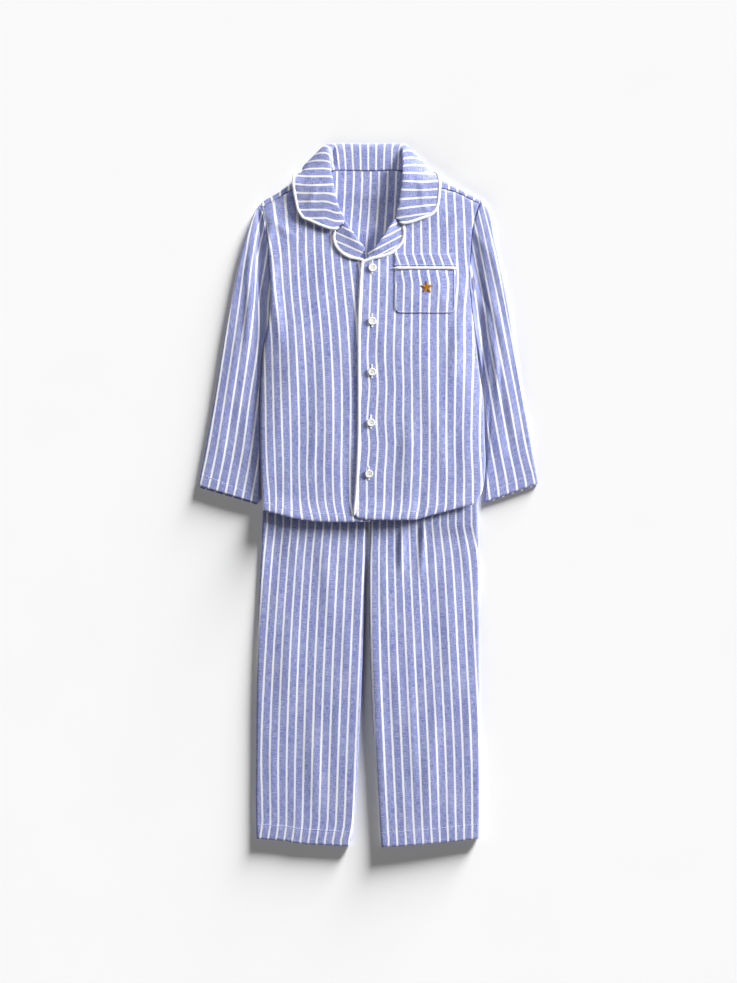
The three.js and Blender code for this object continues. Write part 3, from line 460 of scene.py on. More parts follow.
# %% Striped cotton
def striped_cotton():
    """Brushed plain-weave cotton: matt, with a faint sheen from its nap and slubs along both threads."""
    material, tree = new_material("striped_brushed_cotton")
    uv = add(tree, "ShaderNodeUVMap", uv_map="cloth")
    wander = add(tree, "ShaderNodeTexNoise", {"Vector": uv.outputs[0], "Scale": 110.0, "Detail": 2.0})
    place = add(tree, "ShaderNodeSeparateXYZ", {0: uv.outputs[0]})
    strayed = add(tree, "ShaderNodeMath", {
        0: wander.outputs[0], 1: STRIPE_STRAY * MM, 2: place.outputs[0],
    }, operation="MULTIPLY_ADD")
    turns = add(tree, "ShaderNodeMath", {
        0: strayed.outputs[0], 1: 1 / (STRIPE_PITCH * MM), 2: STRIPE_START,
    }, operation="MULTIPLY_ADD")
    part = add(tree, "ShaderNodeMath", {0: turns.outputs[0]}, operation="FRACT")
    centred = add(tree, "ShaderNodeMath", {0: part.outputs[0], 1: 0.5}, operation="SUBTRACT")
    away = add(tree, "ShaderNodeMath", {0: centred.outputs[0]}, operation="ABSOLUTE")
    half = STRIPE_WIDTH / STRIPE_PITCH / 2
    stripe = add(tree, "ShaderNodeMapRange", {
        "Value": away.outputs[0], "From Min": half - 0.025, "From Max": half + 0.03,
        "To Min": 1.0, "To Max": 0.0,
    }, interpolation_type="SMOOTHSTEP")
    threads = {}
    fine, long = 1 / (THREAD * MM), 1 / (SLUB * MM)
    for name, scales in (("warp", (fine, long, 1)), ("weft", (long, fine, 1))):
        laid = add(tree, "ShaderNodeMapping", {"Vector": uv.outputs[0], "Scale": scales})
        threads[name] = add(tree, "ShaderNodeTexNoise", {
            "Vector": laid.outputs[0], "Scale": 1.0, "Detail": 2.0, "Roughness": 0.6,
        })
    heather = add(tree, "ShaderNodeMix", {
        0: 0.56, 2: threads["warp"].outputs[0], 3: threads["weft"].outputs[0],
    }, data_type="FLOAT")
    dye = add(tree, "ShaderNodeTexNoise", {"Vector": uv.outputs[0], "Scale": 24.0, "Detail": 3.0})
    tone = add(tree, "ShaderNodeMath", {
        0: dye.outputs[0], 1: 0.16, 2: heather.outputs[0],
    }, operation="MULTIPLY_ADD")
    blue = add(tree, "ShaderNodeValToRGB", {0: tone.outputs[0]})
    ramp = blue.color_ramp
    ramp.elements[0].position, ramp.elements[0].color = 0.4, srgb("#5662AE")
    ramp.elements[1].position, ramp.elements[1].color = 0.74, srgb("#C4C8EC")
    middle = ramp.elements.new(0.57)
    middle.color = srgb("#939BD0")
    crossing = add(tree, "ShaderNodeMapRange", {
        "Value": threads["weft"].outputs[0], "From Min": 0.35, "From Max": 0.7, "To Min": 0.0, "To Max": 0.14,
    })
    white = add(tree, "ShaderNodeMix", {
        0: crossing.outputs[0], 6: srgb("#FFFFFF"), 7: srgb("#B4BBE8"),
    }, data_type="RGBA")
    colour = add(tree, "ShaderNodeMix", {
        0: stripe.outputs[0], 6: blue.outputs[0], 7: white.outputs[2],
    }, data_type="RGBA")
    nap = add(tree, "ShaderNodeTexNoise", {"Vector": uv.outputs[0], "Scale": 1600.0, "Detail": 2.0})
    relief = add(tree, "ShaderNodeMath", {
        0: nap.outputs[0], 1: 0.5, 2: heather.outputs[0],
    }, operation="MULTIPLY_ADD")
    bump = add(tree, "ShaderNodeBump", {"Height": relief.outputs[0], "Strength": 0.35, "Distance": 0.35 * MM})
    shader = add(tree, "ShaderNodeBsdfPrincipled", {
        "Base Color": colour.outputs[2], "Roughness": 0.92, "Sheen Weight": 0.22, "Sheen Roughness": 0.45,
        "Specular IOR Level": 0.25, "Normal": bump.outputs[0],
    })
    add(tree, "ShaderNodeOutputMaterial", {0: shader.outputs[0]})
    return material

# %% [markdown]
# Piping, thread and buttons
# The piping is a cotton cord in a bias strip, so its weave runs at a slant round it. The buttons are
# off-white moulded polyester, a little glossy. The sewing thread is polyester too, smoother than the
# cloth. Each material gives colour and relief of its own, so none of them is one flat colour.

# %% Other finishes
PAIRS = 6.3  # at a scale of 1 Blender draws about 3.2 waves a unit, so this gives a wave for two threads


def two_toned(name, dark, light, grain, detail, shine, relief=None):
    """Two near tones, mixed by soft noise of one grain size, which can give a fine relief as well."""
    material, tree = new_material(name)
    place = add(tree, "ShaderNodeTexCoord")
    noise = add(tree, "ShaderNodeTexNoise", {
        "Vector": place.outputs["Object"], "Scale": 1 / (grain * MM), "Detail": detail,
    })
    colour = add(tree, "ShaderNodeMix", {
        0: noise.outputs[0], 6: srgb(dark), 7: srgb(light),
    }, data_type="RGBA")
    sockets = {"Base Color": colour.outputs[2], **shine}
    if relief:
        strength, depth = relief
        bump = add(tree, "ShaderNodeBump", {
            "Height": noise.outputs[0], "Strength": strength, "Distance": depth * MM,
        })
        sockets["Normal"] = bump.outputs[0]
    shader = add(tree, "ShaderNodeBsdfPrincipled", sockets)
    add(tree, "ShaderNodeOutputMaterial", {0: shader.outputs[0]})
    return material


def spun_thread(name, dark, light, roughness, grain, sheen):
    """Polyester or rayon thread: smoother than the cloth, with the relief of its twist."""
    shine = {"Roughness": roughness, "Sheen Weight": sheen, "Specular IOR Level": 0.3}
    return two_toned(name, dark, light, grain, 2.0, shine, relief=(0.4, 0.1))

# %% Piping cloth
def bias_binding():
    """White cotton cut on the bias and pulled round a cord: fine slanting threads."""
    material, tree = new_material("white_bias_piping")
    uv = add(tree, "ShaderNodeUVMap", uv_map="cloth")
    slant = add(tree, "ShaderNodeMapping", {"Vector": uv.outputs[0], "Rotation": (0, 0, math.radians(45))})
    weave = add(tree, "ShaderNodeTexWave", {
        "Vector": slant.outputs[0], "Scale": 1 / (THREAD * MM) / PAIRS, "Distortion": 1.0,
    })
    soft = add(tree, "ShaderNodeTexNoise", {"Vector": uv.outputs[0], "Scale": 260.0, "Detail": 2.0})
    colour = add(tree, "ShaderNodeMix", {
        0: soft.outputs[0], 6: srgb("#EEF0F8"), 7: srgb("#FFFFFF"),
    }, data_type="RGBA")
    bump = add(tree, "ShaderNodeBump", {"Height": weave.outputs[1], "Strength": 0.3, "Distance": 0.15 * MM})
    shader = add(tree, "ShaderNodeBsdfPrincipled", {
        "Base Color": colour.outputs[2], "Roughness": 0.85, "Sheen Weight": 0.15, "Normal": bump.outputs[0],
        "Specular IOR Level": 0.3,
    })
    add(tree, "ShaderNodeOutputMaterial", {0: shader.outputs[0]})
    return material

# %% All finishes
COTTON = striped_cotton()
PIPING = bias_binding()
# Cast polyester resin: smooth and a little glossy, with faint clouds of tone about 3 mm across.
BUTTON = two_toned("off_white_polyester_button", "#F3F1EA", "#FFFFFB", 3.125, 3.0,
                   {"Roughness": 0.34, "IOR": 1.52, "Coat Weight": 0.15}, relief=(0.1, 0.1))
HEM_THREAD = spun_thread("pale_blue_sewing_thread", "#C9CFEE", "#EEF0FC", 0.6, 0.4, 0.1)
WHITE_THREAD = spun_thread("white_sewing_thread", "#E9EAF2", "#FFFFFF", 0.6, 0.4, 0.1)
GOLD_THREAD = spun_thread("golden_brown_embroidery_thread", "#9A6518", "#D59A38", 0.45, 0.8, 0.0)
print("finishes", [m.name for m in (COTTON, PIPING, BUTTON, HEM_THREAD, WHITE_THREAD, GOLD_THREAD)])

# %% [markdown]
# Which way the stripes run
# The cloth was cut along its stripes, but a laid-out garment is never quite straight, so they lean and
# bend. A grain table follows a few marked stripes down a panel. Each row gives where they cross that
# height, and the stripes between them are spaced evenly. The hem's own turn shows as a kink at the end.

# %% Grain
def grain(table, marks):
    """Turns a place on a panel into the distance across the cloth, from a few marked stripes."""
    lines = [through(table, "y", name) for name in marks]
    counts = np.array([marks[name] for name in marks], float) * STRIPE_PITCH

    def across_cloth(x, y):
        places = [line(y) for line in lines]
        across = None
        for k in range(len(lines) - 1):
            share = (x - places[k]) / (places[k + 1] - places[k])
            stretch = counts[k] + share * (counts[k + 1] - counts[k])
            across = stretch if across is None else np.where(x < places[k], across, stretch)
        return across

    return across_cloth

# %% Grain of the fronts and legs
RIGHT_FRONT_GRAIN = grain(columns_of("y edge side middle front", [
    (-34.7, -142, -125.4, -80.2, -33.2), (-14, -142.4, -123.4, -85, -37.2), (-1.3, -143, -123.1, -86.6, -38.2),
    (36.4, -146, -122.8, -88.5, -39), (91.5, -147.8, -124.4, -87.4, -38.1), (165.4, -149, -126.6, -89.3, -38.4),
    (239.4, -152, -129, -94, -42.2), (296, -157.4, -134.6, -99.5, -47.7), (351, -163, -139.6, -102.2, -52.6),
    (388.7, -171, -147.6, -102.2, -54.8), (427.9, -179.6, -155.6, -102.7, -59.9),
]), {"edge": -2, "side": 0, "middle": 3, "front": 7})
LEFT_FRONT_GRAIN = grain(columns_of("y front middle side", [
    (-31.8, 9.1, 69.5, 121.8), (-14, 10.4, 73, 124.9), (-2.8, 10.6, 73.8, 125.1), (26.2, 10.9, 75.4, 125.7),
    (72.6, 13.8, 76.4, 124.7), (110.3, 11.7, 76.1, 124.8), (156.7, 13.8, 75.3, 125.4),
    (203.1, 11.5, 74.7, 126.2), (259.7, 13.8, 75, 126), (314.8, 15.5, 76.1, 129.5),
    (348.1, 16, 76.9, 127.9), (396, 17, 76.1, 126.4), (442.4, 18.4, 75, 124),
]), {"front": 0, "middle": 5, "side": 9})
RIGHT_LEG_GRAIN = grain(columns_of("y outer middle inner", [
    (-500.1, -145.4, -98.3, -39.6), (-476.9, -142, -95.6, -35.2), (-455.2, -141.7, -95, -33.9),
    (-369.6, -142.5, -93.2, -30.9), (-224.6, -136.7, -88.9, -25.1), (-94.1, -128, -81.6, -19.3),
    (-43.4, -123, -76.7, -16.7),
]), {"outer": 2, "middle": 6, "inner": 11})
LEFT_LEG_GRAIN = grain(columns_of("y inner middle outer", [
    (-500.1, 29.4, 92, 150.4), (-476.9, 28, 90.6, 150.4), (-369.6, 22.8, 86.6, 148.9),
    (-224.6, 17, 79.3, 141.7), (-94.1, 15.5, 72.1, 134.4), (-43.4, 16.5, 69.9, 126.6),
]), {"inner": 1, "middle": 6, "outer": 11})

# %% Grain of the sleeves
SLEEVE_GRAIN = {
    "right": grain(columns_of("y first second third fourth fifth", [
        (-7, -235.3, -222.3, -208.5, -195.5, -182.4), (21.9, -228.4, -215.6, -202.6, -189.7, -176.9),
        (65.4, -219.4, -206.9, -194.3, -181.5, -169.2), (137.9, -207.8, -195.9, -183.4, -171.7, -159.8),
        (224.9, -194.4, -182.8, -170.7, -158.8, -146.9), (282.9, -186.3, -174.7, -164.3, -158.1, -144.7),
        (340.9, -178.4, -167.5, -161.4, -148.3, -136.7), (384.4, -170.8, -159.9, -151.8, -141.8, -132.4),
        (420.6, -160.7, -149.8, -142.5, -133.8, -125.1),
    ]), {"first": 1, "second": 2, "third": 3, "fourth": 4, "fifth": 5}),
    "left": grain(columns_of("y e d c b a", [
        (-7, 203.4, 217, 230.8, 244, 257.4), (21.9, 199.9, 213.6, 227.4, 240, 252.6),
        (65.4, 191.3, 204.3, 217.1, 229.2, 241.6), (137.9, 178.4, 191.1, 203.9, 215.6, 225),
        (224.9, 163.4, 174.1, 186.8, 198.8, 207.6), (282.9, 155.9, 166.6, 175.9, 187.8, 196.5),
        (340.9, 146.2, 155.4, 164.9, 175, 185.2), (384.4, 138.2, 147.2, 156, 165.9, 175),
        (420.6, 129.8, 138.8, 147.5, 157.3, 165.6),
    ]), {"e": 1, "d": 2, "c": 3, "b": 4, "a": 5}),
}

# %% [markdown]
# Curled edges
# Where the front and back of a laid garment are sewn at the side, the cloth rolls over a small radius
# instead of ending in a sharp edge. A row of a panel is laid out as flat cloth between two such curls.
# The run along the curl is kept too, so the stripes close up at the edge as they do on real cloth.

# %% A row across a panel
CURL_STEPS = 7


def across_panel(left, right, curl_left, curl_right, radius, flat_steps):
    """Lists of x, drop and run across the cloth, for each row. left and right hold a value for a row."""
    def curled(curl):
        turn = np.maximum(curl, 0.02) * (np.pi / 2)
        bend = radius / np.sin(turn)
        angle = turn[:, None] * np.arange(1, CURL_STEPS + 1) / CURL_STEPS
        reach, drop = bend[:, None] * np.sin(angle), bend[:, None] * (1 - np.cos(angle))
        return reach, drop, bend[:, None] * angle

    left, right = np.atleast_1d(left).astype(float), np.atleast_1d(right).astype(float)
    left_reach, left_drop, left_run = curled(np.broadcast_to(np.asarray(curl_left, float), left.shape))
    right_reach, right_drop, right_run = curled(np.broadcast_to(np.asarray(curl_right, float), left.shape))
    share = np.linspace(0, 1, flat_steps + 1)
    flat = mix((left + radius)[:, None], (right - radius)[:, None], share)
    x = np.concatenate([(left + radius)[:, None] - left_reach[:, ::-1], flat,
                        (right - radius)[:, None] + right_reach], axis=1)
    drop = np.concatenate([left_drop[:, ::-1], np.zeros_like(flat), right_drop], axis=1)
    run = np.concatenate([(left + radius)[:, None] - left_run[:, ::-1], flat,
                          (right - radius)[:, None] + right_run], axis=1)
    return x, drop, run

# %% [markdown]
# Trousers
# Each leg has a front and a back panel. Only the lower part shows in the photograph, so the top, which the
# shirt hides, is cut plainly to an elastic waistband. The fronts carry the folds and the hem's stitches.

# %% Trouser legs
LEG_HEM_STITCH = 21.0
LEG_RISE = {"left": 0.0, "right": 3.6}
LEG_DIP = 2.6  # the fronts sink just below the shirt's hem, whose weight presses them down
LEG_FOLDS = folds_of([
    (51, -78, 88, 110, 17, 3.2, -0.35),
    (74, -66, 93, 96, 16, -1.7),
    (-60, -120, 97, 190, 40, 1.4),
    (-116, -250, 86, 260, 46, 1.2),
    (-78, -395, 93, 190, 38, 1.5),
    (118, -190, 92, 280, 44, 1.3),
    (88, -400, 88, 200, 42, 1.6),
    (44, -300, 96, 210, 34, 1.1),
    (-132, -140, 84, 150, 22, 0.7, 0.2),
    (-32, -210, 95, 170, 22, 0.6),
    (-104, -90, 92, 90, 18, 0.5),
    (-44, -330, 88, 150, 20, 0.6, -0.2),
    (-140, -400, 92, 150, 18, 0.7, 0.2),
    (-104, -470, 84, 80, 22, 0.6),
    (24, -150, 95, 190, 18, 0.8),
    (96, -90, 84, 100, 18, 0.6),
    (140, -90, 96, 120, 16, 0.7),
    (144, -330, 89, 190, 18, 0.7, 0.2),
    (66, -210, 86, 120, 20, 0.5),
    (54, -450, 95, 110, 20, 0.7),
    (118, -460, 86, 90, 22, 0.6),
    (20, -330, 93, 400, 24, 1.2, -0.3),
    (-28, -60, 92, 60, 22, -0.8),
    (-134, -85, 88, 150, 44, -1.5),
])

# %% The leg panels
def leg_dip(y):
    return -LEG_DIP * smooth(36, 66, -y) * (1 - smooth(76, 300, -y))


def leg_rise(side, x, y):
    """The leg on the pocket's side stands up a little along its inner edge."""
    inner, outer = leg_inner[side](y), leg_outer[side](y)
    return LEG_RISE[side] * smooth(44, 150, -y) * np.clip((outer - x) / (outer - inner), 0, 1)


def leg_panel(name, side, is_front, flat_steps, down_steps):
    sign = -1 if side == "left" else 1
    down = np.linspace(0, 1, down_steps + 1)
    row_y = mix(WAIST_SEAM_Y - SEAM_GAP, LEG_BASE_Y, down)
    inner_curl = 1 - smooth(CROTCH_Y - 26, CROTCH_Y, row_y)
    inner = leg_inner[side](row_y) + sign * SEAM_GAP * 0.5
    outer = leg_outer[side](row_y)
    ends = (outer, inner, 1, inner_curl) if sign < 0 else (inner, outer, inner_curl, 1)
    x, drop, run = across_panel(*ends, LEG_RADIUS, flat_steps)
    y = row_y[:, None] + (leg_hem_y(x) - LEG_BASE_Y) * smooth(0.55, 1, down)[:, None]
    across = (RIGHT_LEG_GRAIN if sign < 0 else LEFT_LEG_GRAIN)(run, y)
    uv = np.stack([across, y], axis=2)
    if is_front:
        flatness = 1 - drop / LEG_RADIUS
        relief = hem_relief(y - leg_hem_y(x), LEG_HEM_STITCH, x, 3 + sign) * flatness
        lifted = (fold_height(LEG_FOLDS, x, y) + leg_dip(y)) * np.clip(flatness + 0.4, 0, 1)
        z = LEG_HEIGHT + lifted + leg_rise(side, x, y) * flatness - drop + relief
        grid, uv = np.stack([x, y, z], axis=2)[:, ::-1], uv[:, ::-1]
    else:
        grid = np.stack([x, y + 1.2 * down[:, None], drop], axis=2)
    cloth_piece(name, grid, uv)


for part, is_front, flat_steps, down_steps in (("back", False, 24, 110), ("front", True, 50, 230)):
    for wearers, side in (("right", "left"), ("left", "right")):
        leg_panel(f"leg_{part}_{wearers}", side, is_front, flat_steps, down_steps)

# %% [markdown]
# Waistband
# A flattened ring of cloth over elastic. It is hidden under the shirt, so it is simple, with the small even
# gathers that elastic gives. A ring wall closes on itself, so it needs no edge at the side.

# %% Waistband ring
def waist_ring(flat_steps=70, turn_steps=8, up_steps=8):
    radius = LEG_HEIGHT / 2
    left = leg_outer["left"](WAIST_SEAM_Y) + radius
    right = leg_outer["right"](WAIST_SEAM_Y) - radius
    flat = np.linspace(left, right, flat_steps, endpoint=False)
    angle = np.linspace(0, np.pi, turn_steps, endpoint=False)
    turn_right = np.stack([right + radius * np.sin(angle), radius - radius * np.cos(angle)], axis=1)
    turn_left = np.stack([left - radius * np.sin(angle), radius + radius * np.cos(angle)], axis=1)
    under = np.stack([flat, np.zeros_like(flat)], axis=1)
    over = np.stack([flat[::-1] + flat[1] - flat[0], np.full_like(flat, LEG_HEIGHT)], axis=1)
    ring = np.concatenate([under, turn_right, over, turn_left])
    run = run_length(ring)
    rows = []
    for up in np.linspace(1, 0, up_steps + 1):
        gather = 0.35 * np.sin(run / 2.6) * (ring[:, 1] > 0.5) * math.sin(math.pi * up)
        y = np.full(len(ring), mix(WAIST_SEAM_Y + SEAM_GAP, WAISTBAND_TOP_Y, up))
        rows.append(np.stack([ring[:, 0], y, ring[:, 1] - np.abs(gather)], axis=1))
    grid = np.array(rows)
    uv = np.stack([np.broadcast_to(run, grid.shape[:2]), grid[:, :, 1]], axis=2)
    cloth_piece("waistband", grid, uv, ring=True)


waist_ring()

# %% [markdown]
# Shirt back
# One piece from the hem to the shoulders, where it rolls over the fold and comes forward to the shoulder
# seam. Inside the neck its wrong side shows, in the shade of the collar. Its points are settled on the
# curves of the hem and the shoulder a few times over, because both depend on where each point ends up.

# %% Shirt outlines
FRONT_HEM = columns_of("x y", [
    (-153, -21.8), (-135, -26.2), (-109, -33.2), (-79, -37.4), (-42, -38.8), (2, -38.4),
])
OVERLAP_HEM = columns_of("x y", [
    (-19.5, -30), (-12, -33.6), (0, -35.2), (69, -35.2), (81, -31.4), (108, -24.4), (136, -16.6), (157, -12.4),
])
right_hem = through(FRONT_HEM, "x", "y")
left_hem = through(OVERLAP_HEM, "x", "y")
SHIRT_HEM_STITCH = 11.6
COLLAR_HALF_WIDTH = 60
SHOULDER_EASE = 0.993
BACK_HEM_UP = 3
BACK_STRIPE_START = 5.4
SETTLING_ROUNDS = 7


def settled(line_at, hem_y, top_y, up_steps, columns):
    """x, drop, run and y of a panel whose hem and top edge are curves."""
    up = np.linspace(0, 1, up_steps + 1)[:, None]
    next_y = np.repeat(mix(hem_y(0.0), top_y(0.0), up), columns, axis=1)
    every = np.arange(next_y.size)
    for _ in range(SETTLING_ROUNDS):
        y = next_y
        taken = [part[every, every % columns].reshape(y.shape) for part in line_at(y.ravel())]
        next_y = mix(hem_y(taken[0]), top_y(taken[0]), up)
    return (*taken, y)

# %% The back
FORWARD_STEPS = 4  # rows between the shoulder's roll and its seam


def back_panel(flat_steps=84, up_steps=120, turn_steps=8):
    turn_radius = LAID_HEIGHT / 2
    columns = flat_steps + 1 + 2 * CURL_STEPS

    def line_at(y):
        curl = 1 - smooth(UNDERARM_Y - 18, UNDERARM_Y + 6, y)
        return across_panel(body_edge["left"](y) + SEAM_GAP, body_edge["right"](y) - SEAM_GAP,
                            curl, curl, BODY_RADIUS, flat_steps)

    def hem_y(x):
        return np.where(np.asarray(x) < 0, right_hem(x), left_hem(x)) + BACK_HEM_UP

    x, drop, run, y = settled(line_at, hem_y, lambda x: shoulder_fold(x) - turn_radius, up_steps, columns)
    base_z = shirt_rest(x, y) + drop
    eased_x = x * mix(1, SHOULDER_EASE, smooth(396, 416, y))
    grid = np.stack([eased_x, y, base_z], axis=2)
    lean = 9.0 * smooth(300, 470, y) * (1 - smooth(70, 110, np.abs(x)))
    uv = np.stack([run - lean + BACK_STRIPE_START, y], axis=2)
    top, top_uv = grid[-1], uv[-1]
    rows, uv_rows = [], []
    rolled = smooth(COLLAR_HALF_WIDTH, COLLAR_HALF_WIDTH + 24, np.abs(top[:, 0]))

    def side_at(y_here):
        return np.where(top[:, 0] < 0, body_edge["left"](y_here), body_edge["right"](y_here))

    for k in range(1, turn_steps + FORWARD_STEPS + 1):
        angle = math.pi * min(k, turn_steps) / turn_steps
        forward = max(k - turn_steps, 0) / FORWARD_STEPS
        run_on = forward * (top[:, 1] - shoulder_seam(top[:, 0]) - 2 * SEAM_GAP)
        over_y = top[:, 1] + turn_radius * math.sin(angle) - run_on
        over_z = top[:, 2] + turn_radius * (1 - math.cos(angle))
        flat_y = top[:, 1] + k * turn_radius * 0.9 / (turn_steps + FORWARD_STEPS)
        new_y = mix(flat_y, over_y, rolled)
        new_x = top[:, 0] * mix(1, side_at(new_y) / side_at(top[:, 1]), rolled)
        rows.append(np.stack([new_x, new_y, mix(top[:, 2], over_z, rolled)], axis=1))
        uv_rows.append(top_uv + np.array([0, 1]) * (turn_radius * angle + np.abs(run_on)[:, None]))
    grid = np.concatenate([grid, np.array(rows)])[::-1]
    uv = np.concatenate([uv, np.array(uv_rows)])[::-1]
    cloth_piece("shirt_back", grid, uv)


back_panel()

# %% [markdown]
# Shirt fronts
# The wearer's left front laps over the right one and has the piped edge. Both follow the layers below them,
# and near seams and hems the cloth dips and puckers. Their free edges run under the collar, down the roll
# of the lapel and then down the front.

# %% The fronts
RIGHT_EDGE = columns_of("y x", [
    (-40, 0.6), (-32, 6), (-10, 12), (40, 14), (320, 15), (338, 5), (350, -6), (366, -17.4), (388, -33),
    (398, -42), (410, -53), (425, -59), (440, -68), (460, -82),
])
LEFT_EDGE = columns_of("y x", [
    (-36, -19.4), (-27, -18.4), (18, -14.8), (94, -12), (245, -11.8), (302, -9.6), (334, -7), (341, -3.6),
    (350, 6.4), (368, 22.8), (388, 35), (398, 42), (410, 54), (425, 60), (440, 68), (460, 82),
])
right_edge = through(RIGHT_EDGE, "y", "x")
left_edge = through(LEFT_EDGE, "y", "x")
SHOULDER_SEAM_GAP = 3.6 * SEAM_GAP


def front_relief(side, x, y, drop):
    hem = right_hem if side == "left" else left_hem
    seed = 1 if side == "left" else 2
    flatness = np.clip(1 - drop / BODY_RADIUS, 0, 1)
    relief = hem_relief(y - hem(x), SHIRT_HEM_STITCH, x, seed)
    armhole = np.abs(x - body_edge[side](y))
    relief = relief + seam_relief(armhole, y, seed + 4, 0.5, 8.0) * smooth(UNDERARM_Y, UNDERARM_Y + 14, y)
    shoulder = np.abs(shoulder_seam(x) - y)
    relief = relief + seam_relief(shoulder, x, seed + 7, 0.4, 7.0)
    return relief * flatness


def front_panel(name, side, flat_steps=54, up_steps=160):
    sign = -1 if side == "left" else 1
    free_edge, hem_y, top_at = ((right_edge, right_hem, right_top) if sign < 0
                                else (left_edge, left_hem, left_top))
    columns = flat_steps + 1 + 2 * CURL_STEPS

    def line_at(y):
        curl = 1 - smooth(UNDERARM_Y - 18, UNDERARM_Y + 6, y)
        side_x = body_edge[side](y) - sign * SEAM_GAP
        if sign < 0:
            return across_panel(side_x, free_edge(y), curl, 0, BODY_RADIUS, flat_steps)
        return across_panel(free_edge(y), side_x, 0, curl, BODY_RADIUS, flat_steps)

    x, drop, run, y = settled(line_at, hem_y, lambda x: shoulder_seam(x) - SHOULDER_SEAM_GAP,
                              up_steps, columns)
    at_side = np.where(np.abs(x) > COLLAR_HALF_WIDTH, drop, 0)
    z = top_at(x, y) - at_side + front_relief(side, x, y, at_side)
    grid = np.stack([x, y, z], axis=2)
    across = (RIGHT_FRONT_GRAIN if sign < 0 else LEFT_FRONT_GRAIN)(run, y)
    cloth_piece(name, grid, np.stack([across, y], axis=2))


front_panel("front_right", "left")
front_panel("front_left", "right")

# %% [markdown]
# Sleeves
# Each sleeve is a tube that lies flat. Its rings run from the curve of the armhole to the cuff. The folds
# at the armhole are the deepest on the set, because a sleeve is cut to hang at a slant and here it is laid
# down beside the body. A fold also pulls the stripes sideways, and each sleeve's grain table says how far.

# %% Sleeve tables
SLEEVE_OUTER = {
    "right": [(-157.6, 420.6), (-163.4, 414), (-177.3, 377.7), (-202, 264), (-224.5, 131), (-246.2, 13.9)],
    "left": [(163, 427.6), (173.6, 412), (182.4, 370), (197.6, 300), (219.2, 170), (246.2, 17.5)],
}
SLEEVE_INNER = {
    "right": [(-146.4, 240), (-153.5, 205), (-157.6, 150), (-158, 60), (-158.6, -12)],
    "left": [(154.6, 240), (160, 205), (169, 146), (171.4, 50), (167.6, -10)],
}
SLEEVE_FOLDS = folds_of([
    (-171, 300, 88, 190, 20, 2.2, -0.2),
    (-174, 232, 82, 170, 24, 2.0),
    (-196, 310, 76, 130, 22, 1.6),
    (-196, 190, 78, 210, 34, 1.8),
    (-176, 90, 84, 130, 30, 1.6),
    (-214, 80, 82, 110, 26, 1.2),
    (183, 326, -74, 190, 26, 3.0, -0.4),
    (188, 240, -74, 160, 26, 2.0, -0.3),
    (183, 172, -86, 150, 18, 2.4, -0.3),
    (204, 150, -78, 190, 34, 1.7),
    (190, 70, -84, 120, 30, 1.5),
    (224, 70, -76, 90, 24, 1.2),
    (-176, 322, 74, 110, 16, 1.3),
    (-152, 205, 88, 120, 12, -1.5),
    (-188, 130, 80, 120, 18, 0.8, 0.2),
    (-228, 52, 80, 60, 16, 0.8),
    (160, 372, -60, 80, 13, 1.2),
    (166, 292, -74, 120, 12, -1.4),
    (186, 330, -70, 110, 14, 0.9),
    (172, 150, -86, 130, 14, -1.1),
    (210, 96, -80, 110, 18, 0.8),
    (184, 200, -76, 90, 16, 0.9),
])
# These lie beside the seams, where the tube's own edge would level them out.
SLEEVE_DEEP_FOLDS = folds_of([
    (-151, 316, 94, 176, 24, -9.0, -0.3),
    (-145, 282, 92, 150, 16, -5.0),
    (-156, 392, 97, 80, 13, -4.4),
    (-155, 190, 88, 230, 15, -4.0),
    (-159, 70, 90, 220, 14, -3.6),
    (152, 330, -82, 190, 44, -4.2),
    (150.5, 306, 95, 34, 7, -4.4),
    (162, 252, -84, 150, 28, -4.4),
    (168, 178, -88, 150, 13, -5.0),
    (174, 90, -92, 130, 8, -1.2),
])
LOWEST_TOP = 2.3  # the tube's upper layer stays clear of the lower one
CUFF_BACK_DROP = 2.2
CUFF_STITCH = 17.0
CUFF_FLATTER = {"right": 0.0, "left": 0.5}  # share of its height that a tube loses towards the cuff
CUFF_FLATTENS = (0.72, 1)  # over this share of the sleeve's length
ARMHOLE_SHARE = 0.22

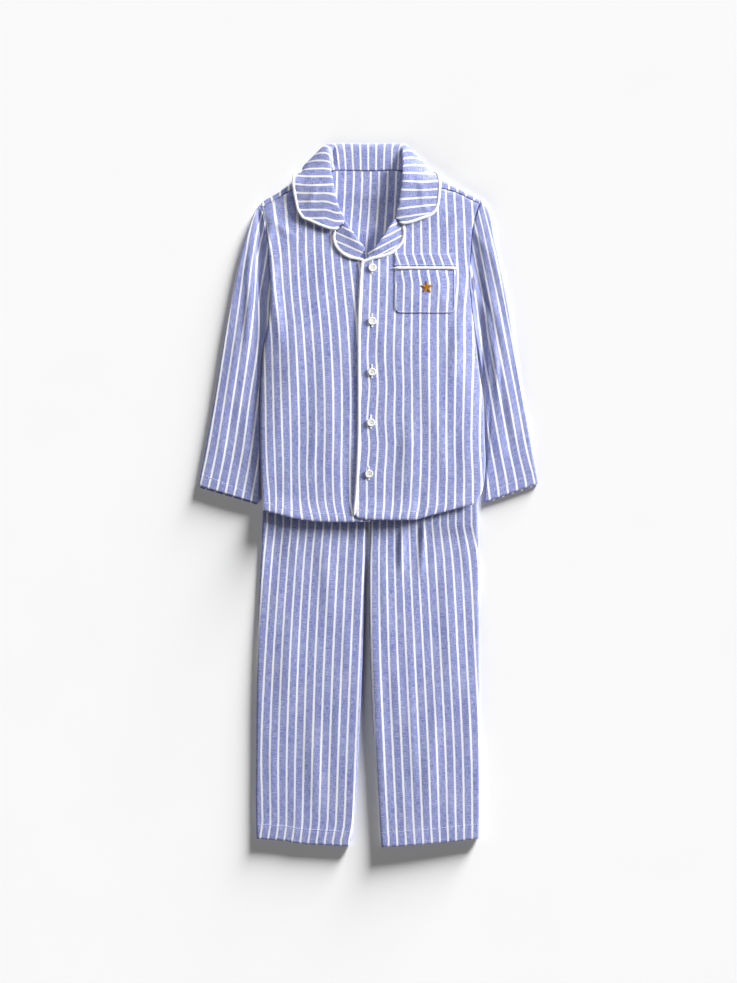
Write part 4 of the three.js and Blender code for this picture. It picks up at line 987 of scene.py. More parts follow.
# %% The sleeves
def sleeve_tube(name, side, down_steps=140, top_steps=42, turn_steps=9):
    sign = -1 if name == "right" else 1
    radius = LAID_HEIGHT / 2
    outer = evenly(catmull(SLEEVE_OUTER[name], 240), down_steps)
    inner = evenly(catmull(SLEEVE_INNER[name], 240), down_steps)
    down = np.linspace(0, 1, down_steps + 1)
    way, down_way = unit(inner - outer), unit(np.gradient(outer, axis=0))
    from_outer, from_inner = outer + way * radius, inner - way * radius
    shoulder, underarm = outer[0], inner[0]

    def bow_at(share):
        y = mix(shoulder[1], underarm[1], share)
        return body_edge[side](y) + sign * 2 * SEAM_GAP - mix(shoulder[0], underarm[0], share)

    at_armhole = 1 - smooth(0, ARMHOLE_SHARE, down)
    length = run_length(outer)
    across_cloth = SLEEVE_GRAIN[name]

    def place(share, reach):
        point = mix(from_outer, from_inner, share) + way * reach
        point[:, 0] += bow_at(share) * at_armhole
        return point

    points, grains = [], []

    def put(point, z, stripe_x, stripe_y):
        points.append(np.column_stack([point, z]))
        grains.append(across_cloth(stripe_x, stripe_y))

    for k in range(top_steps + 1):
        share = k / top_steps
        point = place(share, 0)
        off_edge = math.sin(math.pi * (k + 0.4 * top_steps / 8) / (top_steps * 1.1))
        z = LAID_HEIGHT + fold_height(SLEEVE_FOLDS, point[:, 0], point[:, 1]) * off_edge
        cuff = hem_relief((1 - down) * length[-1], CUFF_STITCH, np.full(len(down), share * 90.0), 6 + sign)
        head = seam_relief(down * length[-1], np.full(len(down), share * 170.0), 9 + sign, 0.5, 9.0)
        z = z + (cuff + head) * off_edge + fold_height(SLEEVE_DEEP_FOLDS, point[:, 0], point[:, 1])
        z = np.maximum(z, LOWEST_TOP) * (1 - CUFF_FLATTER[name] * smooth(*CUFF_FLATTENS, down))
        put(point, z, point[:, 0], point[:, 1])
    inner_side, outer_side, inner_top = place(1, 0), place(0, 0), points[-1][:, 2]
    for k in range(1, turn_steps + 1):
        angle = math.pi * k / (turn_steps + 1)
        z = inner_top * (1 + math.cos(angle)) / 2
        curl_x = inner_side[:, 0] - sign * radius * angle
        put(place(1, radius * math.sin(angle)), z, curl_x, inner_side[:, 1])
    for k in range(top_steps, -1, -1):
        point = place(k / top_steps, 0) + down_way * (CUFF_BACK_DROP * smooth(0.85, 1, down))[:, None]
        beyond = inner_side[:, 0] * 2 - point[:, 0] - sign * radius * math.pi
        put(point, np.zeros(len(down)), beyond, inner_side[:, 1])
    for k in range(1, turn_steps + 1):
        angle = math.pi * k / (turn_steps + 1)
        z = (radius - radius * math.cos(angle)) * (1 - CUFF_FLATTER[name] * smooth(*CUFF_FLATTENS, down))
        curl_x = outer_side[:, 0] + sign * radius * (math.pi - angle)
        put(place(0, -radius * math.sin(angle)), z, curl_x, outer_side[:, 1])
    grid = np.stack(points, axis=1)
    uv = np.stack([np.stack(grains, axis=1), np.repeat(-length[:, None], grid.shape[1], axis=1)], axis=2)
    if sign < 0:
        grid, uv = grid[:, ::-1], uv[:, ::-1]
    cloth_piece("sleeve_" + name, grid, uv, ring=True)


sleeve_tube("right", "left")
sleeve_tube("left", "right")

# %% [markdown]
# Collar
# The collar is one piece that stands up from the neck seam, rolls over and falls. Behind, the fall lies
# under the back, and at the two slanted edges it comes round to the front as rounded leaves. Each row of
# the table is a cut across the collar, from one front edge round the neck to the other, with its four
# corners as x, y and height. The stripes run along those cuts, because the collar was cut across the
# cloth, so they stand upright behind and lie level on the leaves.

# %% Collar sections
COLLAR_SECTIONS = [  # neck seam, roll, turn, edge
    ((-46, 406, 7), (-33.5, 399.5, 9.7), (-47.5, 387, 11.5), (-93, 402, 11.7)),
    ((-50, 415, 7), (-39.4, 409, 11.7), (-72, 404, 12.3), (-99.5, 411.5, 12)),
    ((-54, 425, 7), (-44, 421, 13.1), (-78, 419, 13.1), (-102.7, 424.6, 12.1)),
    ((-58, 438, 7.6), (-48.2, 438, 13.7), (-82, 436, 14.3), (-105.6, 440, 13.1)),
    ((-60, 448, 8.2), (-50.4, 451, 13.7), (-84, 450, 15.3), (-106.6, 452, 13.4)),
    ((-60.4, 457, 8.2), (-52.4, 462, 14.6), (-88, 463.5, 12.6), (-104, 464.6, 6.4)),
    ((-58.6, 463.4, 7.6), (-54.2, 473, 13.4), (-95.4, 473.4, 4.4), (-92.6, 465.4, 0.4)),
    ((-56.6, 466.4, 6.6), (-56, 486, 11.4), (-85.6, 485, 4), (-80, 459, 0)),
    ((-53.4, 470, 5.6), (-57.6, 498, 8.4), (-74, 497, 3.4), (-66, 455.5, 0)),
    ((-48, 470.6, 4.2), (-54.6, 504.4, 5.4), (-63, 506.4, 2.4), (-54, 453.5, 0)),
    ((-38, 470.8, 4), (-42, 505.8, 4.5), (-44, 508.6, 2.1), (-42, 453, 0)),
    ((0, 470, 4), (0, 505.8, 4.4), (0, 508.4, 2), (0, 453, 0)),
    ((34, 470.8, 4), (36, 505.8, 4.5), (38, 508.6, 2.1), (36, 453, 0)),
    ((44, 470.6, 4.2), (47.6, 504.4, 5.4), (55, 506.4, 2.4), (48, 453.5, 0)),
    ((50, 470, 5.6), (50.6, 498, 8.4), (65.4, 497, 3.4), (59, 455.5, 0)),
    ((54, 466.4, 6.6), (50.4, 485, 11.4), (77.6, 484, 4), (72, 459, 0)),
    ((56.4, 463.4, 7.6), (49.6, 473, 16), (88, 473.4, 5.4), (85.6, 465.4, 0.4)),
    ((58.4, 457, 8.2), (49, 463, 17.2), (82, 463.6, 13.6), (98, 464.6, 6.4)),
    ((58.6, 448, 8.2), (48.2, 451, 16.8), (79, 450, 17.2), (101.2, 452, 13.9)),
    ((58, 438, 7.6), (46.6, 438, 16.8), (77, 436, 16.2), (100.6, 439, 13.6)),
    ((55, 427, 7), (44.6, 424, 16.2), (73, 421, 15), (99, 422, 12.2)),
    ((52, 418, 7), (41.8, 413, 14.8), (68, 406.5, 14.2), (95, 412, 12.2)),
    ((49, 410, 7), (38.4, 402.5, 12.8), (49, 394.8, 13.4), (87, 405, 12.2)),
]


def section_grid(sections, along_steps, across_steps):
    """Smooth lines along the corners of all the cuts, then a smooth line across each place on them."""
    lines = [catmull(corners, along_steps) for corners in zip(*sections)]
    grid = np.array([catmull(corners, across_steps) for corners in np.stack(lines, axis=1)])
    grid[:, :, 2] = np.maximum(grid[:, :, 2], 0)
    return grid

# %% The collar
COLLAR_STEPS = {"along": 190, "across": 60}
FALL_STARTS_Y = 466  # behind the neck, only the side of the stand that faces the front is creased
LEAF_LEVEL_Y = 440  # below this the stripes of a leaf run straight across it
COLLAR_EASE = 1.03  # the outer edge of a collar is cut a little longer than the neck
COLLAR_FOLDS = folds_of([
    (-51.4, 494, 80, 24, 7, -3.4, 0.2),
    (-49.6, 480, 106, 16, 6, -2.4),
    (-45, 488, 100, 24, 6, 1.2),
    (-52, 478, 60, 14, 6, -1.0),
    (47, 486, 96, 34, 7, -1.8),
    (24, 488, 86, 30, 9, 0.5),
    (-16, 486, 94, 34, 10, 0.5),
    (-80, 432, 72, 60, 18, 0.9),
    (-92, 456, 60, 40, 14, -0.6),
    (-66, 408, 40, 34, 12, 0.7),
    (78, 438, 96, 60, 18, 0.9),
    (62, 462, 110, 50, 12, -0.7),
    (84, 412, 130, 34, 12, 0.6),
])


def collar_piece(name):
    grid = section_grid(COLLAR_SECTIONS, COLLAR_STEPS["along"], COLLAR_STEPS["across"])
    x, y = grid[:, :, 0], grid[:, :, 1]
    share = np.linspace(0, 1, COLLAR_STEPS["across"] + 1)
    on_top = smooth(0.04, 0.12, share) * (1 - smooth(0.86, 0.97, share))
    shown = np.where(y > FALL_STARTS_Y, 1 - smooth(0.3, 0.4, share), on_top)
    grid[:, :, 2] = np.maximum(grid[:, :, 2] + fold_height(COLLAR_FOLDS, x, y) * shown, 0)
    middle = (grid[:, 18] + grid[:, 32]) / 2
    along = run_length(middle)
    along = (along - along[len(along) // 2]) * COLLAR_EASE
    across = np.array([run_length(row) for row in grid])
    u = np.repeat(along[:, None], grid.shape[1], axis=1)
    for sign, half in ((-1, slice(0, 96)), (1, slice(95, None))):
        level_row = np.argmin(np.abs(middle[half, 1] - LEAF_LEVEL_Y))
        level = along[half][level_row] + sign * (middle[half, 1][level_row] - y[half]) * COLLAR_EASE
        if sign < 0:
            level = level + 4.5 * smooth(-64, -44, x[half]) * smooth(455, 420, y[half])
        else:
            level = level + 0.16 * (x[half] - 72) * smooth(455, 400, y[half])
        on_leaf = 1 - smooth(LEAF_LEVEL_Y - 12, LEAF_LEVEL_Y + 12, y[half])
        u[half] = mix(u[half], level, on_leaf * (across[half] > 8))
    uv = np.stack([u, across], axis=2)
    cloth_piece(name, grid[::-1], uv[::-1])
    return grid


COLLAR_GRID = collar_piece("collar")

# %% [markdown]
# Lapels
# A lapel is the top of the front's own edge, turned back over the roll line, so that its facing shows.
# Turning mirrors the stripes about the roll line, which is why they slant across the lapel.

# %% The lapels
LAPEL_RIGHT_SECTIONS = [  # root, roll, turn, edge
    ((-31, 393.6, 6.4), (-32.8, 395, 10.6), (-39, 387.6, 10), (-46, 381.4, 9)),
    ((-24.6, 384.6, 6.2), (-26.4, 385.4, 10.8), (-38, 379, 10.2), (-48.2, 373.6, 9)),
    ((-17, 373.6, 6.2), (-18.6, 374.4, 10.6), (-33, 368, 10), (-45.8, 362.6, 9)),
    ((-10, 363.6, 6.2), (-11.6, 364.4, 10.2), (-26, 358, 9.8), (-38.6, 353, 9)),
    ((-4.4, 357.2, 6.6), (-5.8, 358, 9.8), (-17, 350.6, 9.5), (-26, 345.4, 9)),
    ((-5.2, 352.6, 7.4), (-6.4, 353, 9.4), (-10, 348.6, 9.2), (-13.4, 343.6, 9)),
]
LAPEL_LEFT_SECTIONS = [
    ((37, 396.6, 6.4), (38, 398.2, 13.2), (43.6, 394, 10.4), (48.6, 389.6, 9.4)),
    ((29, 386, 7), (30.2, 387, 14), (41, 383.4, 11), (50.2, 381, 9.6)),
    ((21, 373.6, 7.6), (22.4, 374.6, 14.6), (36, 371.6, 11.6), (48.8, 369.6, 10)),
    ((13.6, 363.2, 8), (15, 364.2, 14.6), (29, 361.8, 11.8), (42.4, 360.6, 10.6)),
    ((6.4, 354, 8.4), (7.8, 355, 14.4), (18, 352, 11.8), (28.6, 350, 11.1)),
    ((-2, 348, 9.6), (-1, 349.6, 12.4), (-1.6, 345.4, 11.2), (-2, 342, 10.9)),
]
LAPELS = {  # lean is in degrees from upright, start in mm, and ease is a stretch along the turned edge
    "right": {"sections": LAPEL_RIGHT_SECTIONS[::-1], "lean": 66.0, "start": 2.0, "ease": 1.12, "mirror": 1},
    "left": {"sections": LAPEL_LEFT_SECTIONS, "lean": 62.0, "start": 5.0, "ease": 1.3, "mirror": -1},
}


def lapel_piece(side):
    lapel = LAPELS[side]
    grid = section_grid(lapel["sections"], 44, 36)
    lean = math.radians(lapel["lean"])
    across = lapel["mirror"] * grid[:, :, 0] * math.cos(lean) + grid[:, :, 1] * math.sin(lean)
    uv = np.stack([across * lapel["ease"] + lapel["start"], grid[:, :, 0]], axis=2)
    cloth_piece("lapel_" + side, grid[::-1], uv[::-1])
    return grid


LAPEL_RIGHT_GRID = lapel_piece("right")
LAPEL_LEFT_GRID = lapel_piece("left")

# %% [markdown]
# Piping
# Piping is a cord in a bias strip, sewn into the seam so that it stands beside the edge. Its path is the
# edge of the collar or the lapel, moved out by its own radius and laid on whatever is below it. It is a
# little flat, as cord is once it is pressed, and its ends are tucked under.

# %% Piping cord
PIPING_RADIUS = 1.4
PIPING_GAP = 0.4
PIPING_DRAWN = 2.3  # half the width of the cord with its binding, pressed flat
PIPING_STEP = 1.6
TIP_REACH = 0.6  # how far its rounded ends stand out, as a share of its radius


def piping(node, path, radius=PIPING_DRAWN, flatness=0.62, sides=14, taper=(6, 4)):
    """A flattened cord along a path, thinner over the first and last few millimetres."""
    path = evenly(path, int(run_length(path)[-1] / PIPING_STEP))
    forward = unit(np.gradient(path, axis=0))
    side = unit(np.cross(forward, (0, 0, 1.0)))
    up = np.cross(side, forward)
    angles = np.linspace(0, 2 * math.pi, sides, endpoint=False)
    run = run_length(path)
    uneven = 1 + 0.05 * ripple(run * 0.8, 3)
    uneven = uneven * mix(0.35, 1, smooth(0, taper[0], run) * smooth(0, taper[1], run[-1] - run))
    rings = [path + (side * math.cos(a) + up * math.sin(a) * flatness) * radius * uneven[:, None]
             for a in angles]
    grid = np.stack(rings, axis=1)
    tips = (path[:1] - forward[:1] * radius * TIP_REACH, path[-1:] + forward[-1:] * radius * TIP_REACH)
    points = np.concatenate([grid.reshape(-1, 3), *tips])
    index = np.arange(grid.shape[0] * sides).reshape(-1, sides)
    index = np.concatenate([index, index[:, :1]], axis=1)
    faces = quads(index[:-1, :-1], index[:-1, 1:], index[1:, 1:], index[1:, :-1]).tolist()
    start, end = len(points) - 2, len(points) - 1
    faces += [(start, int(index[0, k + 1]), int(index[0, k])) for k in range(sides)]
    faces += [(end, int(index[-1, k]), int(index[-1, k + 1])) for k in range(sides)]
    uv = np.stack([np.broadcast_to(angles * radius, grid.shape[:2]),
                   np.broadcast_to(run[:, None], grid.shape[:2])], axis=2).reshape(-1, 2)
    uv = np.concatenate([uv, uv[:1], uv[-1:]])
    sewn_on(node + "_cord", cloth_mesh(node + "_cord", points, faces, uv, PIPING), node)
    print(f"{node}: {run[-1]:.0f} mm of piping, {len(faces)} faces")

# %% Piping round the collar
def shirt_top(x, y):
    return right_top(x, y) if x < 0 else left_top(x, y)


def beside_edge(edge, inside, below):
    """A path beside the edge of a wall, on what is below it."""
    way = np.gradient(edge, axis=0, edge_order=2)
    way[:, 2] = 0
    way = unit(way)
    out = np.column_stack([way[:, 1], -way[:, 0], np.zeros(len(way))])
    inwards = ((inside - edge) * out).sum(axis=1) > 0
    out[inwards] *= -1
    path = edge + out * (PIPING_RADIUS + PIPING_GAP * 0.5)
    floor = np.array([below(x, y) for x, y, _ in path])
    path[:, 2] = np.maximum(edge[:, 2] - 0.6, floor + PIPING_RADIUS)
    return path


def collar_edge(grid, rows, first_column=36):
    lower = grid[0, first_column:]
    leaf = grid[1:rows, -1]
    inside = np.concatenate([grid[1, first_column:-1], grid[1, -2:-1], grid[1:rows, -2]])
    return np.concatenate([lower, leaf])[::2], inside[::2]


def below_collar(x, y):
    return shirt_top(x, y) if y < shoulder_fold(x) + PIPING_RADIUS else 0.0


for label, grid in (("right", COLLAR_GRID), ("left", COLLAR_GRID[::-1])):
    edge, inside = collar_edge(grid, 50)
    path = catmull(beside_edge(edge, inside, below_collar), 160)
    piping(f"collar_piping_{label}", path, taper=(3, 16))

# %% Front piping
FRONT_PIPING = {"top": 329.0, "bottom": -29.0}
LAPEL_POINT = (-8.6, 335.6, 10.6)
LAPEL_FOOT = (-5.0, 339.4, 9.2)  # where the lower lapel's piping goes under the upper one


def front_edge_path():
    y = np.linspace(FRONT_PIPING["top"], FRONT_PIPING["bottom"], 60)
    x = left_edge(y) - PIPING_RADIUS - PIPING_GAP * 0.5
    z = right_top(x, y) + PIPING_RADIUS + 0.15
    return np.column_stack([x, y, z])


right_lapel_path, left_lapel_path = (beside_edge(lapel[:, -1], lapel[:, -2], shirt_top)
                                     for lapel in (LAPEL_RIGHT_GRID[::-3], LAPEL_LEFT_GRID[::3]))
whole_right = np.concatenate([right_lapel_path[:14], [LAPEL_FOOT]])
whole_left = np.concatenate([left_lapel_path, [LAPEL_POINT], front_edge_path()])
piping("front_piping_right", catmull(whole_right, 80), taper=(3, 6))
piping("front_piping_left", catmull(whole_left, 400), taper=(3, 4))

# %% [markdown]
# Pocket
# The pocket is a small panel with a band across its top and piping between them. It lies on the left front
# and is made from the front's own surface, moved out by a little more than the cloth's thickness. Its
# stripes were matched to the front's, except that the band pulls them to one side.

# %% The pocket
POCKET = {"left": 38, "right": 125.6, "bottom": 262.6, "top": 325, "corner": 9}
POCKET_BAND = {"left": 37.4, "right": 127, "bottom": 330.8, "top": 348.8, "corner": 0}
POCKET_CLOTH = 0.7
POCKET_GAP = 0.2


def on_front(x, y, height):
    z = left_top(x, y) + front_relief("right", x, y, np.zeros(np.shape(x))) + height
    return np.stack([x, y, z], axis=-1)


def patch(name, shape, slide, across_steps, up_steps):
    up = np.linspace(0, 1, up_steps + 1) ** (1.5 if shape["corner"] else 1)
    y = mix(shape["bottom"], shape["top"], up)
    into_corner = np.maximum(shape["corner"] - (y - shape["bottom"]), 0)
    inset = shape["corner"] - np.sqrt(shape["corner"] ** 2 - into_corner ** 2)
    share = np.linspace(0, 1, across_steps + 1)
    x = mix((shape["left"] + inset)[:, None], (shape["right"] - inset)[:, None], share)
    y = np.repeat(y[:, None], across_steps + 1, axis=1)
    edge = np.minimum.reduce([x - shape["left"], shape["right"] - x, y - shape["bottom"]])
    crown = 0.7 * smooth(0, 24, edge) + 0.14 * ripple(x + y, 2) * np.exp(-np.abs(edge - 2) / 5)
    grid = on_front(x, y, POCKET_GAP + POCKET_CLOTH + crown)
    across = LEFT_FRONT_GRAIN(x + slide(y), y)
    cloth_piece(name, grid, np.stack([across, y], axis=2), thickness=POCKET_CLOTH)


patch("pocket", POCKET, lambda y: 3.4 * smooth(302, 325, y), 34, 26)
patch("pocket_band", POCKET_BAND, lambda y: -6.4 * (348.8 - y) / 18, 34, 8)
piping_x = np.linspace(POCKET_BAND["left"] - 0.4, POCKET_BAND["right"] + 0.4, 30)
piping_y = np.full(30, (POCKET["top"] + POCKET_BAND["bottom"]) / 2)
piping("pocket_piping", on_front(piping_x, piping_y, PIPING_RADIUS + 0.6), radius=2.2)

# %% [markdown]
# Buttons
# Five four-hole buttons close the front. A turned profile gives the rim and the dished middle, and four
# small cylinders are cut out of it for the holes. They stay buttoned, as shown. Each is tilted to the
# cloth that it lies on.

# %% Button shape
BUTTONS = [(5.9, 328.4), (5.7, 251), (5.4, 177.5), (3.9, 104.5), (1, 30.6)]
BUTTON_RADIUS = 5.7
BUTTON_HEIGHT = 2.4
HOLE_AT = 1.15
HOLE_RADIUS = 0.62
BUTTON_PROFILE = [
    (0, 0), (0.66, 0), (0.84, 0.08), (0.96, 0.28), (1, 0.5), (0.985, 0.72), (0.93, 0.92), (0.86, 1),
    (0.78, 0.98), (0.7, 0.9), (0.6, 0.85), (0.4, 0.82), (0, 0.81),
]


def turned(name, profile, sides):
    """A closed shape turned about Z from a profile whose ends are on the axis."""
    rings = profile[1:-1]
    points = [(r * math.cos(2 * math.pi * k / sides), r * math.sin(2 * math.pi * k / sides), z)
              for r, z in rings for k in range(sides)]
    points += [(0, 0, profile[0][1]), (0, 0, profile[-1][1])]
    low, high = len(points) - 2, len(points) - 1
    last = (len(rings) - 1) * sides
    around = [(k, (k + 1) % sides) for k in range(sides)]
    faces = [(i * sides + k, i * sides + n, (i + 1) * sides + n, (i + 1) * sides + k)
             for i in range(len(rings) - 1) for k, n in around]
    for k, n in around:
        faces += [(low, n, k), (high, last + k, last + n)]
    mesh = bpy.data.meshes.new(name)
    mesh.from_pydata(points, [], faces)
    return mesh

# %% Drill the buttons
def drilled_button():
    profile = [(r * BUTTON_RADIUS * MM, z * BUTTON_HEIGHT * MM) for r, z in BUTTON_PROFILE]
    blank = new_object("button_blank", turned("button_blank", profile, 48))
    drills = []
    deep, wide = BUTTON_HEIGHT * MM * 1.5, HOLE_RADIUS * MM
    for sx, sy in ((1, 1), (1, -1), (-1, 1), (-1, -1)):
        drill = new_object("drill", turned("drill", [(0, -deep), (wide, -deep), (wide, deep), (0, deep)], 14))
        drill.location = (sx * HOLE_AT * MM, sy * HOLE_AT * MM, 0)
        cut = blank.modifiers.new("hole", "BOOLEAN")
        cut.operation, cut.object, cut.solver = "DIFFERENCE", drill, "EXACT"
        drills.append(drill)
    bpy.context.view_layer.update()
    evaluated = blank.evaluated_get(bpy.context.evaluated_depsgraph_get())
    mesh = bpy.data.meshes.new_from_object(evaluated)
    for obj in (*drills, blank):
        bpy.data.objects.remove(obj)
    print("button faces", len(mesh.polygons))
    return mesh

# %% Place the buttons
def button_seat(x, y):
    above, below = (on_front(np.array(x), np.array(y + away), 0) for away in (BUTTON_RADIUS, -BUTTON_RADIUS))
    tilt = math.atan2(above[2] - below[2], above[1] - below[1])
    return Vector((x, y, above[2] + 0.5)), tilt


BUTTON_MESH = drilled_button()
for number, (x, y) in enumerate(BUTTONS, 1):
    seat, tilt = button_seat(x, y)
    mesh = BUTTON_MESH.copy()
    cos, sin = math.cos(tilt), math.sin(tilt)
    for vertex in mesh.vertices:
        px, py, pz = vertex.co
        vertex.co = (px + seat.x * MM, py * cos - pz * sin + seat.y * MM, py * sin + pz * cos + seat.z * MM)
    mesh.materials.clear()
    mesh.materials.append(BUTTON)
    mesh.polygons.foreach_set("use_smooth", np.ones(len(mesh.polygons), dtype=bool))
    mesh.set_sharp_from_angle(angle=math.radians(38))
    sewn_on(f"button_{number}_moulded", mesh, f"button_{number}")

# %% [markdown]
# Stitches by Geometry Nodes
# A row of lockstitches is the same small loop of thread again and again along a seam, so a node tree makes
# it: it walks along each path, sets a stitch at each step, turns it to the path and varies it a little.
# The tree is built once with named inputs, and each row of stitches sets its own spacing and thread.

# %% The stitch tree
def tree_input(tree, name, kind, default=None):
    socket = tree.interface.new_socket(name=name, in_out="INPUT", socket_type=kind)
    if default is not None:
        socket.default_value = default
    return socket.identifier


def new_tree(name, sizes):
    """A tree that takes paths, a few named sizes, a seed and a thread, with its inputs' identifiers."""
    tree = bpy.data.node_groups.new(name, "GeometryNodeTree")
    ids = {"Paths": tree_input(tree, "Paths", "NodeSocketGeometry")}
    for size, default in sizes.items():
        ids[size] = tree_input(tree, size, "NodeSocketFloat", default)
    ids["Seed"] = tree_input(tree, "Seed", "NodeSocketInt", 4)
    ids["Thread"] = tree_input(tree, "Thread", "NodeSocketMaterial")
    tree.interface.new_socket(name="Geometry", in_out="OUTPUT", socket_type="NodeSocketGeometry")
    return tree, ids, add(tree, "NodeGroupInput").outputs


def close_tree(tree, made, given):
    """The last steps of both trees: the instances become real, smooth and coloured."""
    real = add(tree, "GeometryNodeRealizeInstances", {0: made.outputs[0]})
    shade = add(tree, "GeometryNodeSetShadeSmooth", {0: real.outputs[0]})
    finished = add(tree, "GeometryNodeSetMaterial", {0: shade.outputs[0], "Material": given["Thread"]})
    add(tree, "NodeGroupOutput", {0: finished.outputs[0]})


def stitch_tree():
    tree, ids, given = new_tree("row_of_stitches", {
        "Stitch spacing": 0.0028, "Stitch length": 0.0022, "Thread radius": 0.0003, "Unevenness": 0.12,
    })
    line = add(tree, "GeometryNodeMeshToCurve", {0: given["Paths"]})
    steps = add(tree, "GeometryNodeResampleCurve", {
        0: line.outputs[0], "Length": given["Stitch spacing"],
    }, mode="LENGTH")
    bead = add(tree, "GeometryNodeMeshUVSphere", {"Segments": 6, "Rings": 5, "Radius": 1.0})
    half = add(tree, "ShaderNodeMath", {0: given["Stitch length"], 1: 0.5}, operation="MULTIPLY")
    size = add(tree, "ShaderNodeCombineXYZ", {
        0: half.outputs[0], 1: given["Thread radius"], 2: given["Thread radius"],
    })
    stitch = add(tree, "GeometryNodeTransform", {0: bead.outputs[0], "Scale": size.outputs[0]})
    tangent = add(tree, "GeometryNodeInputTangent")
    turned_to = add(tree, "FunctionNodeAlignRotationToVector", {"Vector": tangent.outputs[0]}, axis="X")
    low = add(tree, "ShaderNodeMath", {0: 1.0, 1: given["Unevenness"]}, operation="SUBTRACT")
    high = add(tree, "ShaderNodeMath", {0: 1.0, 1: given["Unevenness"]}, operation="ADD")
    vary = add(tree, "FunctionNodeRandomValue", {
        2: low.outputs[0], 3: high.outputs[0], "Seed": given["Seed"],
    })
    placed = add(tree, "GeometryNodeInstanceOnPoints", {
        "Points": steps.outputs[0], "Instance": stitch.outputs[0], "Rotation": turned_to.outputs[0],
        "Scale": vary.outputs[1],
    })
    close_tree(tree, placed, given)
    return tree, ids

# %% [markdown]
# Threads by Geometry Nodes
# Satin stitches, buttonhole stitches and the thread in a button's holes are short lengths of thread laid
# side by side. Each is drawn as a few joined points, and a second tree gives all of them their roundness.

# %% The thread tree
def thread_tree():
    tree, ids, given = new_tree("laid_threads", {"Thread radius": 0.0003})
    line = add(tree, "GeometryNodeMeshToCurve", {0: given["Paths"]})
    section = add(tree, "GeometryNodeCurvePrimitiveCircle", {
        "Resolution": 6, "Radius": given["Thread radius"],
    })
    round_thread = add(tree, "GeometryNodeCurveToMesh", {
        0: line.outputs[0], 1: section.outputs[0], "Fill Caps": True,
    })
    close_tree(tree, round_thread, given)
    return tree, ids


STITCHES = stitch_tree()
THREADS = thread_tree()


def sewn(name, paths, made_by, material, slot_name, **inputs):
    """Runs one of the trees on a few paths and keeps the result as a plain mesh that rides on the set."""
    tree, ids = made_by
    points, edges = [], []
    for path in paths:
        start = len(points)
        points.extend((np.asarray(path) * MM).tolist())
        edges.extend((start + k, start + k + 1) for k in range(len(path) - 1))
    mesh = bpy.data.meshes.new(name + "_paths")
    mesh.from_pydata(points, edges, [])
    carrier = new_object(name + "_paths", mesh)
    modifier = carrier.modifiers.new("sewing", "NODES")
    modifier.node_group = tree
    modifier[ids["Thread"]] = material
    for key, value in inputs.items():
        modifier[ids[key.replace("_", " ").capitalize()]] = value
    bpy.context.view_layer.update()
    evaluated = carrier.evaluated_get(bpy.context.evaluated_depsgraph_get())
    result = bpy.data.meshes.new_from_object(evaluated)
    bpy.data.objects.remove(carrier)
    sewn_on(name, result)
    print(f"{name}: {len(result.polygons)} faces")

# %% Rows along hems
THREAD_RISE = 0.25


def hem_row(top_at, hem_y, stitch_up, start, end, relief):
    x = np.linspace(start, end, 140)
    y = hem_y(x) + stitch_up
    return np.column_stack([x, y, top_at(x, y) + relief(x, y) + THREAD_RISE])


def leg_row(side, start, end):
    def top_at(x, y):
        return LEG_HEIGHT + fold_height(LEG_FOLDS, x, y) + leg_rise(side, x, y)

    def relief(x, y):
        return hem_relief(y - leg_hem_y(x), LEG_HEM_STITCH, x, 2 if side == "left" else 4)

    return hem_row(top_at, leg_hem_y, LEG_HEM_STITCH, start, end, relief)


def front_row(side, top_at, hem_y, start, end):
    return hem_row(top_at, hem_y, SHIRT_HEM_STITCH, start, end,
                   lambda x, y: front_relief(side, x, y, np.zeros(len(x))))


HEM_ROWS = [
    leg_row("left", -158.5, -27),
    leg_row("right", 20.5, 157.5),
    front_row("left", right_top, right_hem, -149.5, -14.5),
    front_row("right", left_top, left_hem, -14, 153),
]

# %% Rows round cuffs and the pocket
def cuff_row(name):
    sign = -1 if name == "right" else 1
    steps = 400
    outer, inner = (evenly(catmull(edge[name], 240), steps) for edge in (SLEEVE_OUTER, SLEEVE_INNER))
    i = int(round(steps * (1 - CUFF_STITCH / run_length(outer)[-1])))
    share = np.linspace(0.03, 0.97, 90)
    point = mix(outer[i], inner[i], share[:, None])
    relief = hem_relief(np.full(90, CUFF_STITCH), CUFF_STITCH, share * 90.0, 6 + sign)
    z = LAID_HEIGHT + fold_height(SLEEVE_FOLDS, point[:, 0], point[:, 1]) * np.sin(np.pi * share) + relief
    z = z * (1 - CUFF_FLATTER[name] * smooth(*CUFF_FLATTENS, i / steps))
    return np.column_stack([point, z + THREAD_RISE])


def pocket_rows():
    inset = 1.4
    corner = POCKET["corner"] - inset
    left, right = POCKET["left"] + inset, POCKET["right"] - inset
    bottom = POCKET["bottom"] + inset
    angles = np.linspace(0, math.pi / 2, 8)
    outline = [(left, POCKET["top"] - 1)]
    outline += [(left + corner * (1 - math.cos(a)), bottom + corner * (1 - math.sin(a))) for a in angles]
    outline += [(right - corner * (1 - math.sin(a)), bottom + corner * (1 - math.cos(a))) for a in angles]
    outline += [(right, POCKET["top"] - 1)]
    flat = evenly(np.array(outline), 160)
    around = on_front(flat[:, 0], flat[:, 1], POCKET_GAP + POCKET_CLOTH + 0.4)
    x = np.linspace(POCKET_BAND["left"] + 1, POCKET_BAND["right"] - 1, 60)
    band = on_front(x, np.full(60, POCKET_BAND["bottom"] + 2.2), POCKET_GAP + POCKET_CLOTH + 0.4)
    return [around, band]


ALL_ROWS = [*HEM_ROWS, cuff_row("right"), cuff_row("left"), *pocket_rows()]
sewn("hem_stitches", ALL_ROWS, STITCHES, HEM_THREAD, "striped_cotton", Stitch_spacing=3.3 * MM,
     Stitch_length=2.9 * MM, Thread_radius=0.46 * MM, Unevenness=0.12, Seed=4)

